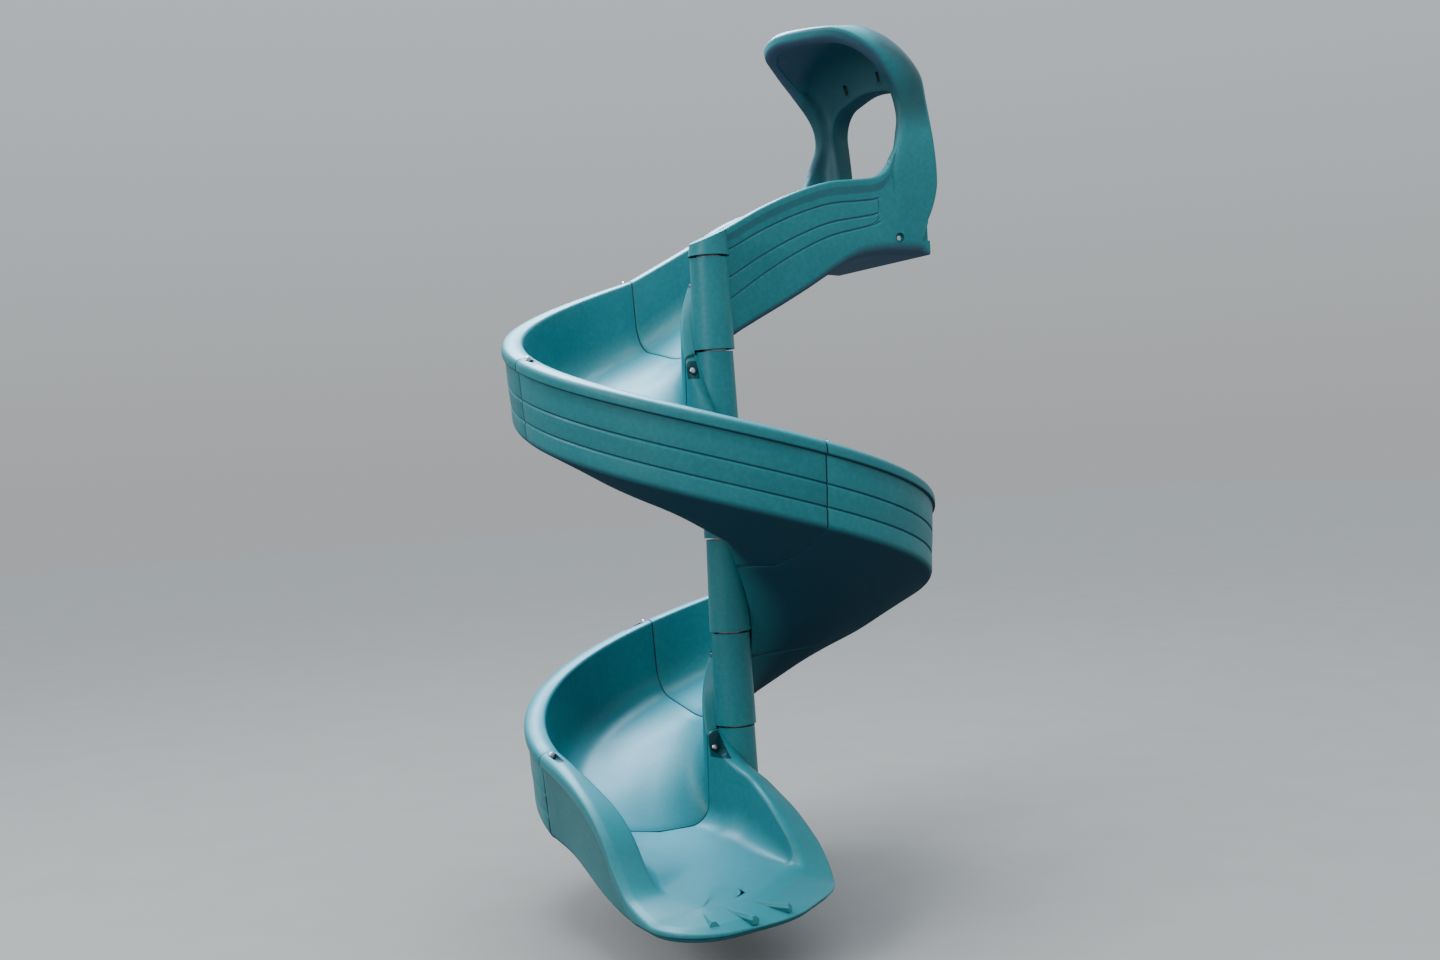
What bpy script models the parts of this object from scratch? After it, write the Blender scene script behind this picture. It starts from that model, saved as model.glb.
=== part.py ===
"""Playground spiral slide: seven moulded chute sections stacked on a steel centre pole.

Metres, +Z up. The pole stands on Z = 0 and its axis is the Z axis. The rider enters at the top,
heading -X, turns anticlockwise as seen from above, and leaves at the bottom, heading -Y.
Each joint between two sections lies on an upright plane through the pole axis, a quarter turn
below the one before it.
"""
import math

import bmesh
import bpy
import numpy as np
from mathutils import Matrix

# Pole and base
POLE_DIAMETER = 0.0889
POLE_WALL = 0.004
BASE_PLATE_SIDE = 0.250
BASE_PLATE_THICKNESS = 0.0127
BASE_PLATE_CORNER = 0.020
ANCHOR_HOLE_DIAMETER = 0.018
ANCHOR_HOLE_SPACING = 0.190
COLLAR_THICKNESS = 0.012

# Spiral
SECTION_DROP = 0.340
SPIRAL_SECTIONS = 5
EXIT_SEAM_HEIGHT = 0.625
SPIRAL_STEPS = 10

# Section hub
HUB_CLEARANCE = 0.0015
HUB_WALL = 0.023
HUB_DRAFT = 0.0065
HUB_GAP = 0.008
HUB_SLIP = 0.002
LEDGE_WIDTH = 0.052

# Chute cross-section; depths are below the seam height of the hub
CHUTE_WIDTH = 0.560
CHUTE_DEPTH = 0.345
BEAD_WIDTH = 0.0775
BEAD_HEIGHT = 0.050
BEAD_OVERHANG = 0.0105
FOOT_DEPTH = 0.297
BELLY_DEPTH = 0.442
FLOOR_TILT = 0.060
WALL_LEAN = 0.014
GROOVE_HEIGHT = 0.012
GROOVE_CUT = 0.005
GROOVE_DEPTHS = (0.151, 0.2267)

# Joints between sections
JOINT_GAP = 0.0003
EDGE_BREAK = 0.003
BOLT_DIAMETER = 0.010
BOLT_HEAD_DIAMETER = 0.024
BOLT_HEAD_HEIGHT = 0.007
INSERT_DIAMETER = 0.016
INSERT_LENGTH = 0.025
INSERT_FLOOR = 0.003
FIT = 0.0003
POCKET_RADIUS = 0.014
POCKET_LENGTH = 0.090
RIM_SEAT = 0.022
RIM_BOLT_DEPTH = 0.014
HUB_SEAT = 0.015
HUB_BOLT_DEPTH = 0.070
BELLY_SEAT = 0.040
BELLY_BOLT_DEPTH = 0.330
FASTENER_SIDES = 8
ROUND_SIDES = 24
WELD_DISTANCE = 0.00003

# Entry section
ENTRY_LENGTH = 1.000
DECK_RISE = 0.113
NEAR_FACE = 0.045
NEAR_OVERHANG = 0.008
NEAR_RIM_WIDTH = 0.075
NEAR_BEAD_HEIGHT = 0.028
RIM_RISE = 0.420
HUB_BLEND = 0.120
CAP_BORE = 0.034
DECK_THICKNESS = 0.095
HOOD_RISE = 1.002
HOOD_SHOULDER = 0.745
HOOD_WALL = 0.046
HOOD_OVERHANG = 0.050
HOOD_REACH = 0.495
HOOD_BOW = 0.016
HOOD_SHOULDER_INSET = 0.066
HOOD_REAR_RISE = 1.000
HOOD_NECK = 0.036
HOOD_LIP_SPREAD = 0.006
HOOD_LIP_RISE = 0.940
HOOD_BULGE = 0.056
HEADER_THICKNESS = 0.080
HEADER_SETBACK = 0.008
HEADER_BOTTOM = 0.705
HEADER_EDGE = 0.012
HOOD_LEG_STATIONS = 8
HOOD_ROOF_STATIONS = 8
DOORWAY_WIDTH = 0.545
DECK_BOLT_BACK = 0.138
DECK_BOLT_RISE = 0.083
DECK_BOLT_LENGTH = 0.040
DECK_RECESS_RADIUS = 0.020
DECK_RECESS_DEPTH = 0.012

# Exit section
EXIT_LENGTH = 1.075
EXIT_INNER_LENGTH = 0.735
EXIT_FLARE = 0.042
EXIT_FLOOR_DROP = 0.033
EXIT_BOTTOM_DROP = 0.438
EXIT_LIP_DROP = 0.398
EXIT_FLANGE_GAIN = 0.035
RIB_WIDTH = 0.024
# each rib's start (x, distance from the nose), its turn towards +X and its length
RIBS = ((-0.595, 0.225, -0.154, 0.150), (-0.542, 0.225, 0.280, 0.175), (-0.453, 0.225, 0.710, 0.158))
EXIT_STATIONS = 40

# Worked out from the sizes above
POLE_RADIUS = POLE_DIAMETER / 2
BORE_RADIUS = POLE_RADIUS + HUB_CLEARANCE
HUB_TOP_RADIUS = BORE_RADIUS + HUB_WALL
HUB_BOTTOM_RADIUS = HUB_TOP_RADIUS + HUB_DRAFT
SLIP_RADIUS = HUB_BOTTOM_RADIUS + HUB_SLIP
INNER_WALL = HUB_BOTTOM_RADIUS + LEDGE_WIDTH
OUTER_WALL = INNER_WALL + CHUTE_WIDTH
OUTER_RADIUS = OUTER_WALL + BEAD_WIDTH
ROOT_RADIUS = HUB_TOP_RADIUS - 0.6 * HUB_WALL
TOP_SEAM_HEIGHT = EXIT_SEAM_HEIGHT + SPIRAL_SECTIONS * SECTION_DROP
HOOD_REAR = ENTRY_LENGTH + HOOD_OVERHANG
RIM_BOLT_RADIUS = OUTER_RADIUS - BEAD_WIDTH / 2
HUB_BOLT_RADIUS = (SLIP_RADIUS + INNER_WALL) / 2 - 0.004
BELLY_BOLT_RADIUS = INNER_WALL - 0.010
CHUTE_MIDDLE = (INNER_WALL + OUTER_WALL) / 2
INSERT_BORE = BOLT_DIAMETER + 2 * FIT

PLASTIC = (0.045, 0.235, 0.265, 1.0)
STEEL = (0.55, 0.58, 0.58, 1.0)
ZINC = (0.72, 0.74, 0.74, 1.0)
BRASS = (0.60, 0.46, 0.20, 1.0)


def make_material(name, colour, roughness, metallic):
    material = bpy.data.materials.new(name)
    material.use_nodes = True
    shader = material.node_tree.nodes["Principled BSDF"]
    shader.inputs["Base Color"].default_value = colour
    shader.inputs["Roughness"].default_value = roughness
    shader.inputs["Metallic"].default_value = metallic
    return material


def new_collection(name):
    collection = bpy.data.collections.new(name)
    bpy.context.scene.collection.children.link(collection)
    return collection


def mix(a, b, t):
    return a + (b - a) * t


def ease(start, end, value):
    """Smooth step from 0 at start to 1 at end."""
    t = min(max((value - start) / (end - start), 0.0), 1.0)
    return t * t * (3 - 2 * t)


def curve_at(points, position):
    """Height of a smooth curve through a few (position, height) points."""
    xs = [p[0] for p in points]
    ys = [p[1] for p in points]
    if position <= xs[0]:
        return ys[0]
    if position >= xs[-1]:
        return ys[-1]
    i = int(np.searchsorted(xs, position)) - 1
    slopes = np.diff(ys) / np.diff(xs)
    before = slopes[i] if i == 0 else (slopes[i - 1] + slopes[i]) / 2
    after = slopes[i] if i == len(slopes) - 1 else (slopes[i] + slopes[i + 1]) / 2
    span = xs[i + 1] - xs[i]
    t = (position - xs[i]) / span
    rise = ys[i + 1] - ys[i]
    return ys[i] + rise * t * t * (3 - 2 * t) + span * t * (1 - t) * (before * (1 - t) - after * t)


def rounded(corners, closed=True):
    """Points of an outline whose corners (x, y, radius, steps) are rounded to their radius."""
    points = []
    count = len(corners)
    for i, (x, y, radius, steps) in enumerate(corners):
        here = np.array([x, y])
        at_end = not closed and i in (0, count - 1)
        if steps == 0 or at_end:
            points.append(here)
            continue
        before = np.array(corners[i - 1][:2]) - here
        after = np.array(corners[(i + 1) % count][:2]) - here
        room = 0.48 * min(np.linalg.norm(before), np.linalg.norm(after))
        before = before / np.linalg.norm(before)
        after = after / np.linalg.norm(after)
        half = 0.5 * math.acos(float(np.clip(before @ after, -1, 1)))
        reach = min(radius / math.tan(half), room) if half < 1.5 else min(radius, room)
        weight = math.sin(half)
        for t in np.linspace(0, 1, steps + 1):
            parts = ((1 - t) ** 2, 2 * weight * t * (1 - t), t ** 2)
            point = parts[0] * (here + before * reach) + parts[1] * here + parts[2] * (here + after * reach)
            points.append(point / sum(parts))
    return np.array(points)


def resample(points, count):
    """The same polyline with a set number of points at equal distances."""
    steps = np.linalg.norm(np.diff(points, axis=0), axis=1)
    along = np.concatenate([[0], np.cumsum(steps)])
    where = np.linspace(0, along[-1], count)
    return np.column_stack([np.interp(where, along, points[:, k]) for k in range(points.shape[1])])


def inset(points, distance):
    """A closed anticlockwise or clockwise outline moved inwards by a distance."""
    before = np.roll(points, 1, axis=0)
    after = np.roll(points, -1, axis=0)
    area = np.sum(points[:, 0] * after[:, 1] - after[:, 0] * points[:, 1])
    turn = 1 if area > 0 else -1
    first = points - before
    second = after - points
    first /= np.linalg.norm(first, axis=1)[:, None]
    second /= np.linalg.norm(second, axis=1)[:, None]
    normals_first = turn * np.column_stack([-first[:, 1], first[:, 0]])
    normals_second = turn * np.column_stack([-second[:, 1], second[:, 0]])
    middle = normals_first + normals_second
    scale = 1 + np.sum(normals_first * normals_second, axis=1)
    return points + distance * middle / np.maximum(scale, 0.35)[:, None]


def add_object(name, bm, material, collection):
    bmesh.ops.recalc_face_normals(bm, faces=bm.faces)
    mesh = bpy.data.meshes.new(name)
    bm.to_mesh(mesh)
    bm.free()
    mesh.materials.append(material)
    thing = bpy.data.objects.new(name, mesh)
    collection.objects.link(thing)
    return thing


def loft(name, rings, material, collection):
    """Closed solid through rings that have equal numbers of points, with both ends capped."""
    bm = bmesh.new()
    rows = [[bm.verts.new(point) for point in ring] for ring in rings]
    count = len(rows[0])
    for low, high in zip(rows, rows[1:]):
        for i in range(count):
            j = (i + 1) % count
            bm.faces.new((low[i], low[j], high[j], high[i]))
    bm.faces.new(rows[0])
    bm.faces.new(rows[-1])
    return add_object(name, bm, material, collection)


def turned(name, profile, sides, material, collection):
    """Solid of revolution about Z from (radius, height) points that start and end on the axis or close."""
    bm = bmesh.new()
    rings = []
    for radius, height in profile:
        if radius < 1e-6:
            rings.append([bm.verts.new((0, 0, height))])
            continue
        angles = [2 * math.pi * k / sides for k in range(sides)]
        rings.append([bm.verts.new((radius * math.cos(a), radius * math.sin(a), height)) for a in angles])
    closed = len(rings[0]) > 1
    pairs = list(zip(rings, rings[1:]))
    if closed:
        pairs.append((rings[-1], rings[0]))
    for low, high in pairs:
        for i in range(sides):
            j = (i + 1) % sides
            if len(low) == 1:
                bm.faces.new((low[0], high[j], high[i]))
            elif len(high) == 1:
                bm.faces.new((low[i], low[j], high[0]))
            else:
                bm.faces.new((low[i], low[j], high[j], high[i]))
    return add_object(name, bm, material, collection)


def evaluated_mesh(thing):
    bpy.context.view_layer.update()
    depsgraph = bpy.context.evaluated_depsgraph_get()
    return bpy.data.meshes.new_from_object(thing.evaluated_get(depsgraph))


def weld(thing):
    """Merge the points and drop the slivers that a Boolean leaves along near-touching faces."""
    bm = bmesh.new()
    bm.from_mesh(thing.data)
    bmesh.ops.remove_doubles(bm, verts=bm.verts, dist=WELD_DISTANCE)
    bmesh.ops.dissolve_degenerate(bm, edges=bm.edges, dist=WELD_DISTANCE)
    bm.to_mesh(thing.data)
    bm.free()


def join_or_cut(thing, others, operation):
    """Apply one exact Boolean for each of the other objects, then remove them."""
    for other in others:
        modifier = thing.modifiers.new("boolean", "BOOLEAN")
        modifier.operation = operation
        modifier.solver = "EXACT"
        modifier.object = other
    mesh = evaluated_mesh(thing)
    thing.modifiers.clear()
    thing.data = mesh
    weld(thing)
    for other in others:
        bpy.data.objects.remove(other)


def triangulate(thing):
    bm = bmesh.new()
    bm.from_mesh(thing.data)
    bmesh.ops.triangulate(bm, faces=bm.faces)
    bm.to_mesh(thing.data)
    bm.free()


def shade(thing, sharp_angle=40):
    """Shade the round faces smooth and keep the real edges sharp."""
    triangulate(thing)
    thing.data.shade_smooth()
    thing.data.set_sharp_from_angle(angle=math.radians(sharp_angle))


# Chute cross-section


def groove(face, centre, cut):
    """Three points of a V groove cut into a wall whose outer face is at the given radius."""
    half = GROOVE_HEIGHT / 2
    return [
        (face, centre + half, 0, 0),
        (face - cut, centre, 0, 0),
        (face, centre - half, 0, 0),
    ]


def outer_face(depth):
    """Radius of the outer wall's outside at a depth below the rim; it leans in towards its foot."""
    top = OUTER_RADIUS - BEAD_OVERHANG
    return top - WALL_LEAN * ease(0.06, FOOT_DEPTH, depth)


def chute_corners():
    """Corners of the spiral chute's cross-section, from the hub over the chute to the belly."""
    ledge = INNER_WALL - 0.0095
    bead_top = OUTER_RADIUS - BEAD_WIDTH / 2
    wall = outer_face(0)
    span = OUTER_WALL - INNER_WALL
    corners = [
        (ROOT_RADIUS, -0.006, 0, 0),
        (ledge, -0.022, 0.018, 2),
        (INNER_WALL, -CHUTE_DEPTH, 0.080, 4),
        (INNER_WALL + 0.36 * span, -CHUTE_DEPTH, 0.400, 1),
        (OUTER_WALL - 0.027, -CHUTE_DEPTH + FLOOR_TILT, 0.130, 4),
        (OUTER_WALL, -0.012, 0.015, 1),
        (bead_top, -0.002, 0.060, 1),
        (OUTER_RADIUS, -0.016, 0.022, 2),
        (OUTER_RADIUS, -BEAD_HEIGHT - 0.002, 0.010, 1),
        (wall, -BEAD_HEIGHT - 0.006, 0, 0),
    ]
    for depth in GROOVE_DEPTHS:
        corners += groove(outer_face(depth), -depth, GROOVE_CUT)
    corners += [
        (outer_face(FOOT_DEPTH), -FOOT_DEPTH, 0.035, 2),
        (OUTER_RADIUS - 0.205, -BELLY_DEPTH + 0.057, 0.120, 2),
        (INNER_WALL + 0.232, -BELLY_DEPTH + 0.009, 0.150, 1),
        (ROOT_RADIUS, -BELLY_DEPTH, 0, 0),
    ]
    return corners


def helix_point(radius, height, angle):
    fall = SECTION_DROP * angle / (math.pi / 2)
    return (radius * math.cos(angle), radius * math.sin(angle), height - fall)


def plane_ring(profile, offset, from_end):
    """Where the spiral meets an upright plane set in from one of the section's two ends."""
    ring = []
    for radius, height in profile:
        lean = math.asin(offset / radius)
        ring.append(helix_point(radius, height, math.pi / 2 - lean if from_end else lean))
    return ring


def hub_sleeve(name, bottom, material, collection):
    """Tube round the pole that is the hub of one section; it hangs down to the next hub."""
    top = -HUB_GAP / 2
    profile = [(BORE_RADIUS, top), (HUB_TOP_RADIUS, top), (HUB_BOTTOM_RADIUS, bottom), (BORE_RADIUS, bottom)]
    return turned(name, profile, ROUND_SIDES, material, collection)


def slip_cutter(name, top, collection, material):
    """Room for the next section's hub, below this section's own hub."""
    profile = [(0, top), (SLIP_RADIUS, top), (SLIP_RADIUS, -1.0), (0, -1.0)]
    return turned(name, profile, ROUND_SIDES, material, collection)


def add_hub(section, cutters, plastic):
    """Clear the chute round the next section's hub and join it to its own."""
    bottom = -SECTION_DROP + HUB_GAP / 2
    join_or_cut(section, [slip_cutter("slip", bottom + 0.0005, cutters, plastic)], "DIFFERENCE")
    join_or_cut(section, [hub_sleeve("sleeve", bottom, plastic, cutters)], "UNION")


# Joint hardware. In a joint's own frame X is the radius, +Y runs downhill and Z = 0 is the seam height


def joint_frame(angle, height):
    return Matrix.Translation((0, 0, height)) @ Matrix.Rotation(angle, 4, "Z")


def along_joint(radius, offset, depth, downhill):
    """Places a thing made along +Z so that its axis runs downhill (or uphill) at the joint."""
    turn = Matrix.Rotation(-math.pi / 2 if downhill else math.pi / 2, 4, "X")
    return Matrix.Translation((radius, offset, -depth)) @ turn


def rod(name, radius, start, end, place, collection, material):
    """Round cutter along its own +Z from start to end."""
    profile = [(0, end), (radius, end), (radius, start), (0, start)]
    thing = turned(name, profile, FASTENER_SIDES, material, collection)
    thing.matrix_world = place
    return thing


def channel(name, place, reach, collection, material):
    """Bolt-head pocket: a round-bottomed channel along +Z that is open on its -Y side."""
    corners = [(-POCKET_RADIUS, -reach), (-POCKET_RADIUS, 0)]
    for k in range(1, 4):
        angle = math.pi * k / 4
        corners.append((-POCKET_RADIUS * math.cos(angle), POCKET_RADIUS * math.sin(angle)))
    corners += [(POCKET_RADIUS, 0), (POCKET_RADIUS, -reach)]
    rings = [[(x, y, z) for x, y in corners] for z in (0, POCKET_LENGTH)]
    thing = loft(name, rings, material, collection)
    thing.matrix_world = place
    return thing


JOINT_BOLTS = (
    ("rim", RIM_BOLT_RADIUS, RIM_SEAT, RIM_BOLT_DEPTH, True),
    ("hub", HUB_BOLT_RADIUS, HUB_SEAT, HUB_BOLT_DEPTH, True),
    ("belly", BELLY_BOLT_RADIUS, BELLY_SEAT, BELLY_BOLT_DEPTH, False),
)


def joint_cutters(frame, lower_side, collection, material):
    """Pockets, bolt holes and insert holes of one section at one joint."""
    cutters = []
    for name, radius, seat, depth, downhill in JOINT_BOLTS:
        sign = 1 if downhill else -1
        place = frame @ along_joint(radius, sign * seat, depth, downhill)
        if downhill == lower_side:
            # a pocket opens through the nearer of the rim and the belly
            reach = 0.050 + (depth if downhill else BELLY_DEPTH - depth)
            cutters.append(channel(name + "_pocket", place, reach, collection, material))
            cutters.append(rod(name + "_hole", INSERT_BORE / 2, -seat - 0.005, 0.005, place,
                               collection, material))
        else:
            into = frame @ along_joint(radius, 0, depth, downhill)
            cutters.append(rod(name + "_insert_hole", INSERT_DIAMETER / 2 + FIT,
                               -JOINT_GAP / 2 - INSERT_LENGTH - FIT, 0.005, into, collection, material))
    return cutters


def bolt_mesh(name, length, material, collection):
    """Domed bolt with its head on +Z and its shank below."""
    shank = BOLT_DIAMETER / 2
    head = BOLT_HEAD_DIAMETER / 2
    profile = [
        (0, FIT + BOLT_HEAD_HEIGHT),
        (0.68 * head, FIT + 0.72 * BOLT_HEAD_HEIGHT),
        (head, FIT),
        (shank, FIT),
        (shank, -length),
        (0, -length),
    ]
    return turned(name, profile, FASTENER_SIDES, material, collection)


def insert_mesh(name, material, collection):
    """Threaded insert, open at its mouth on Z = 0, closed at the bottom."""
    outer = INSERT_DIAMETER / 2
    bore = INSERT_BORE / 2
    profile = [
        (0, -INSERT_LENGTH),
        (outer, -INSERT_LENGTH),
        (outer, 0),
        (bore, 0),
        (bore, -INSERT_LENGTH + INSERT_FLOOR),
        (0, -INSERT_LENGTH + INSERT_FLOOR),
    ]
    return turned(name, profile, FASTENER_SIDES, material, collection)


def add_joint_hardware(collection, zinc, brass):
    meshes = {}
    for name, radius, seat, depth, downhill in JOINT_BOLTS:
        # the shank stops short of the bottom of the insert's thread
        length = seat + JOINT_GAP / 2 + INSERT_LENGTH - INSERT_FLOOR - 0.002
        meshes[name] = bolt_mesh(name, length, zinc, collection)
    insert = insert_mesh("insert", brass, collection)
    for joint in range(SPIRAL_SECTIONS + 1):
        angle = math.pi / 2 * (joint + 1)
        frame = joint_frame(angle, TOP_SEAM_HEIGHT - joint * SECTION_DROP)
        for name, radius, seat, depth, downhill in JOINT_BOLTS:
            sign = 1 if downhill else -1
            bolt = bpy.data.objects.new(f"{name}_bolt_{joint + 1}", meshes[name].data)
            bolt.matrix_world = frame @ along_joint(radius, sign * seat, depth, downhill)
            collection.objects.link(bolt)
            seated = bpy.data.objects.new(f"{name}_insert_{joint + 1}", insert.data)
            seated.matrix_world = frame @ along_joint(radius, -sign * JOINT_GAP / 2, depth, downhill)
            collection.objects.link(seated)
    for pattern in list(meshes.values()) + [insert]:
        bpy.data.objects.remove(pattern)


# Spiral sections


def add_spiral_sections(collection, cutters, plastic):
    """One quarter-turn moulding, used five times, each a quarter turn on and one drop lower."""
    profile = rounded(chute_corners())
    small = inset(profile, EDGE_BREAK)
    near = JOINT_GAP / 2
    rings = [plane_ring(small, near, False), plane_ring(profile, near + EDGE_BREAK, False)]
    for step in range(1, SPIRAL_STEPS):
        angle = math.pi / 2 * step / SPIRAL_STEPS
        rings.append([helix_point(radius, height, angle) for radius, height in profile])
    rings += [plane_ring(profile, near + EDGE_BREAK, True), plane_ring(small, near, True)]
    section = loft("spiral_section", rings, plastic, collection)

    add_hub(section, cutters, plastic)
    tools = joint_cutters(joint_frame(0, 0), True, cutters, plastic)
    tools += joint_cutters(joint_frame(math.pi / 2, -SECTION_DROP), False, cutters, plastic)
    join_or_cut(section, tools, "DIFFERENCE")
    shade(section)
    for index in range(SPIRAL_SECTIONS):
        copy = bpy.data.objects.new(f"spiral_section_{index + 1}", section.data)
        copy.location = (0, 0, TOP_SEAM_HEIGHT - index * SECTION_DROP)
        copy.rotation_euler = (0, 0, math.pi / 2 * (index + 1))
        collection.objects.link(copy)
    bpy.data.objects.remove(section)


# Entry section: straight chute, deck end and hood


def near_rim(x):
    """Crown of the rim on the pole side, which rises into the hood's leg."""
    points = [(0, 0.181), (0.109, 0.288), (0.25, 0.455), (0.40, 0.600), (0.55, 0.702), (0.70, 0.738),
              (0.76, 0.757), (0.80, 0.800), (0.83, 0.876), (0.86, 1.0), (0.89, 1.10), (0.93, 1.10),
              (1.0, 0.400)]
    return RIM_RISE * curve_at(points, x / ENTRY_LENGTH)


def far_rim(x):
    """Crown of the rim on the far side, which starts level with the spiral's rim."""
    points = [(0, -0.005), (0.18, 0.214), (0.30, 0.364), (0.45, 0.560), (0.58, 0.671), (0.70, 0.721),
              (0.76, 0.745), (0.80, 0.790), (0.83, 0.870), (0.86, 1.0), (0.89, 1.10), (0.93, 1.10),
              (1.0, 0.400)]
    return RIM_RISE * curve_at(points, x / ENTRY_LENGTH)


def entry_floor(x):
    points = [(0, 0), (0.25, 0.338), (0.50, 0.655), (0.70, 0.884), (0.84, 0.987), (1.0, 1.0)]
    return mix(-CHUTE_DEPTH, DECK_RISE, curve_at(points, x / ENTRY_LENGTH))


def entry_bottom(x):
    """Lower edge of the wall on the pole side."""
    points = [(0, 0), (0.07, 0.287), (0.125, 0.367), (0.23, 0.487), (0.34, 0.607), (0.453, 0.735),
              (0.56, 0.861), (0.66, 0.961), (0.78, 1.0), (1.0, 1.0)]
    return mix(-BELLY_DEPTH, DECK_RISE - DECK_THICKNESS, curve_at(points, x / ENTRY_LENGTH))


def entry_corners(x):
    """Cross-section of the entry at a distance from its joint, as (y, z, radius, steps)."""
    along = x / ENTRY_LENGTH
    off_hub = ease(0, HUB_BLEND, x)
    deck = ease(0.35, 0.85, along)
    panel = 1 - ease(0.765, 0.785, along)
    rim = near_rim(x)
    crown = far_rim(x)
    floor = entry_floor(x)
    bottom = entry_bottom(x)
    foot = bottom + mix(0.147, 0.050 * (1 - deck), off_hub)
    wall = crown - foot
    face = outer_face(0)
    lean = WALL_LEAN * (1 - deck)
    # both rims narrow to the hood's wall where they rise into its legs
    narrow = ease(0.76, 0.87, along)
    inner_rim = NEAR_FACE - NEAR_OVERHANG + mix(NEAR_RIM_WIDTH, HOOD_WALL, narrow)
    far_rim_inside = mix(OUTER_WALL, OUTER_RADIUS - HOOD_WALL, narrow)
    corners = [
        (NEAR_FACE - NEAR_OVERHANG, rim, 0.012, 2),
        (mix(INNER_WALL - 0.0095, inner_rim, off_hub), mix(-0.022, rim - 0.002, off_hub), 0.018, 2),
        (mix(INNER_WALL, inner_rim + 0.010, off_hub), floor, 0.080, 4),
        (INNER_WALL + 0.36 * CHUTE_WIDTH, floor, 0.400, 1),
        (OUTER_WALL - 0.027, floor + FLOOR_TILT * (1 - deck), mix(0.130, 0.090, deck), 4),
        (far_rim_inside, crown - 0.010, 0.015, 1),
        (OUTER_RADIUS - BEAD_WIDTH / 2, crown, 0.060, 1),
        (OUTER_RADIUS, crown - 0.014, 0.022, 2),
        (OUTER_RADIUS, crown - BEAD_HEIGHT, 0.010, 1),
        (face, crown - BEAD_HEIGHT - 0.004, 0, 0),
    ]
    for share in (0.517, 0.780):
        corners += groove(face - lean * share, crown - share * wall, GROOVE_CUT * panel)
    corners += [
        (face - lean, foot, 0.035, 2),
        (OUTER_RADIUS - 0.205, bottom + mix(0.057, -0.020 * (1 - deck), off_hub), 0.120, 2),
        (INNER_WALL + 0.232, bottom + mix(0.009, -0.045 * (1 - deck), off_hub), 0.150, 1),
        (NEAR_FACE, bottom, 0.030, 2),
    ]
    depths = (mix(0.280, 0.185, along / 0.73), mix(0.195, 0.148, along / 0.70), 0.087)
    for depth, share in zip(depths, (0.80, 0.55, 0.30)):
        depth = min(depth, share * (rim - bottom))
        top, middle, low = groove(NEAR_FACE, rim - depth, -GROOVE_CUT * panel)
        corners += [low, middle, top]
    corners += [
        (NEAR_FACE, rim - NEAR_BEAD_HEIGHT - 0.004, 0, 0),
        (NEAR_FACE - NEAR_OVERHANG, rim - NEAR_BEAD_HEIGHT, 0.006, 1),
    ]
    return corners


def entry_trough(collection, plastic):
    near = JOINT_GAP / 2
    shares = (0.18, 0.25, 0.33, 0.41, 0.49, 0.57, 0.65, 0.72, 0.765, 0.785, 0.82, 0.85, 0.885, 0.94, 1.0)
    stations = [near + EDGE_BREAK] + [HUB_BLEND * share for share in (0.3, 0.63, 1.0)]
    stations += [ENTRY_LENGTH * share for share in shares]
    first = inset(rounded(entry_corners(near)), EDGE_BREAK)
    rings = [[(near, y, z) for y, z in first]]
    for x in stations:
        rings.append([(x, y, z) for y, z in rounded(entry_corners(x))])
    return loft("entry_section", rings, plastic, collection)


def hood_half(corners):
    """Half of an outline of the hood, foot to crown, with its stations at set places."""
    mirrored = [(-y, z, radius, steps) for y, z, radius, steps in reversed(corners[:-1])]
    points = rounded(corners + mirrored, closed=False)
    half = points[:len(points) // 2 + 1]
    split = 0.70 * HOOD_RISE
    heights = np.linspace(half[0, 1], split, HOOD_LEG_STATIONS)
    leg = np.column_stack([np.interp(heights, half[:, 1], half[:, 0]), heights])
    roof = resample(np.vstack([leg[-1:], half[half[:, 1] > split]]), HOOD_ROOF_STATIONS)
    return np.vstack([leg, roof[1:]])


def hood_paths():
    """Rear and front outlines of the hood as (y, z) points from the near leg over to the far leg."""
    half = CHUTE_MIDDLE - NEAR_FACE
    foot = (-half, DECK_RISE - 0.030, 0, 0)
    bow = -half - HOOD_BOW
    rear = hood_half([
        foot,
        (bow, 0.39 * HOOD_RISE, 0.90 * HOOD_RISE, 3),
        (-half + HOOD_SHOULDER_INSET, HOOD_SHOULDER, 0.16 * HOOD_RISE, 4),
        (0, HOOD_REAR_RISE, 0.30 * HOOD_RISE, 4),
    ])
    front = hood_half([
        foot,
        (bow, 0.39 * HOOD_RISE, 0.60 * HOOD_RISE, 3),
        (-half + HOOD_NECK, 0.58 * HOOD_RISE, 0.45 * HOOD_RISE, 3),
        (-half - HOOD_LIP_SPREAD, 0.908 * HOOD_RISE, 0.13 * HOOD_RISE, 5),
        (0, HOOD_LIP_RISE, 0.50 * HOOD_RISE, 4),
    ])
    return [np.vstack([path, path[-2::-1] * [-1, 1]]) + [CHUTE_MIDDLE, 0] for path in (rear, front)]


def hood_front(z):
    """Front edge of the hood: legs near the deck, reaching forward over the rider at the top."""
    points = [(0.34, 0.424), (0.43, 0.370), (0.50, 0.320), (0.563, 0.283), (0.63, 0.297), (0.683, 0.339),
              (0.76, 0.440), (0.83, 0.554), (0.876, 0.671), (0.905, 0.774), (0.916, 0.840), (0.931, 1.0)]
    return HOOD_REAR - HOOD_REACH * curve_at(points, z / HOOD_RISE)


def hood_rear(z):
    """Rear edge of the hood, which draws in towards the foot of each leg."""
    points = [(0.09, 0.152), (0.14, 0.111), (0.20, 0.053), (0.28, 0.008), (0.36, 0)]
    return HOOD_REAR - HOOD_REACH * curve_at(points, z / HOOD_RISE)


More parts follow.
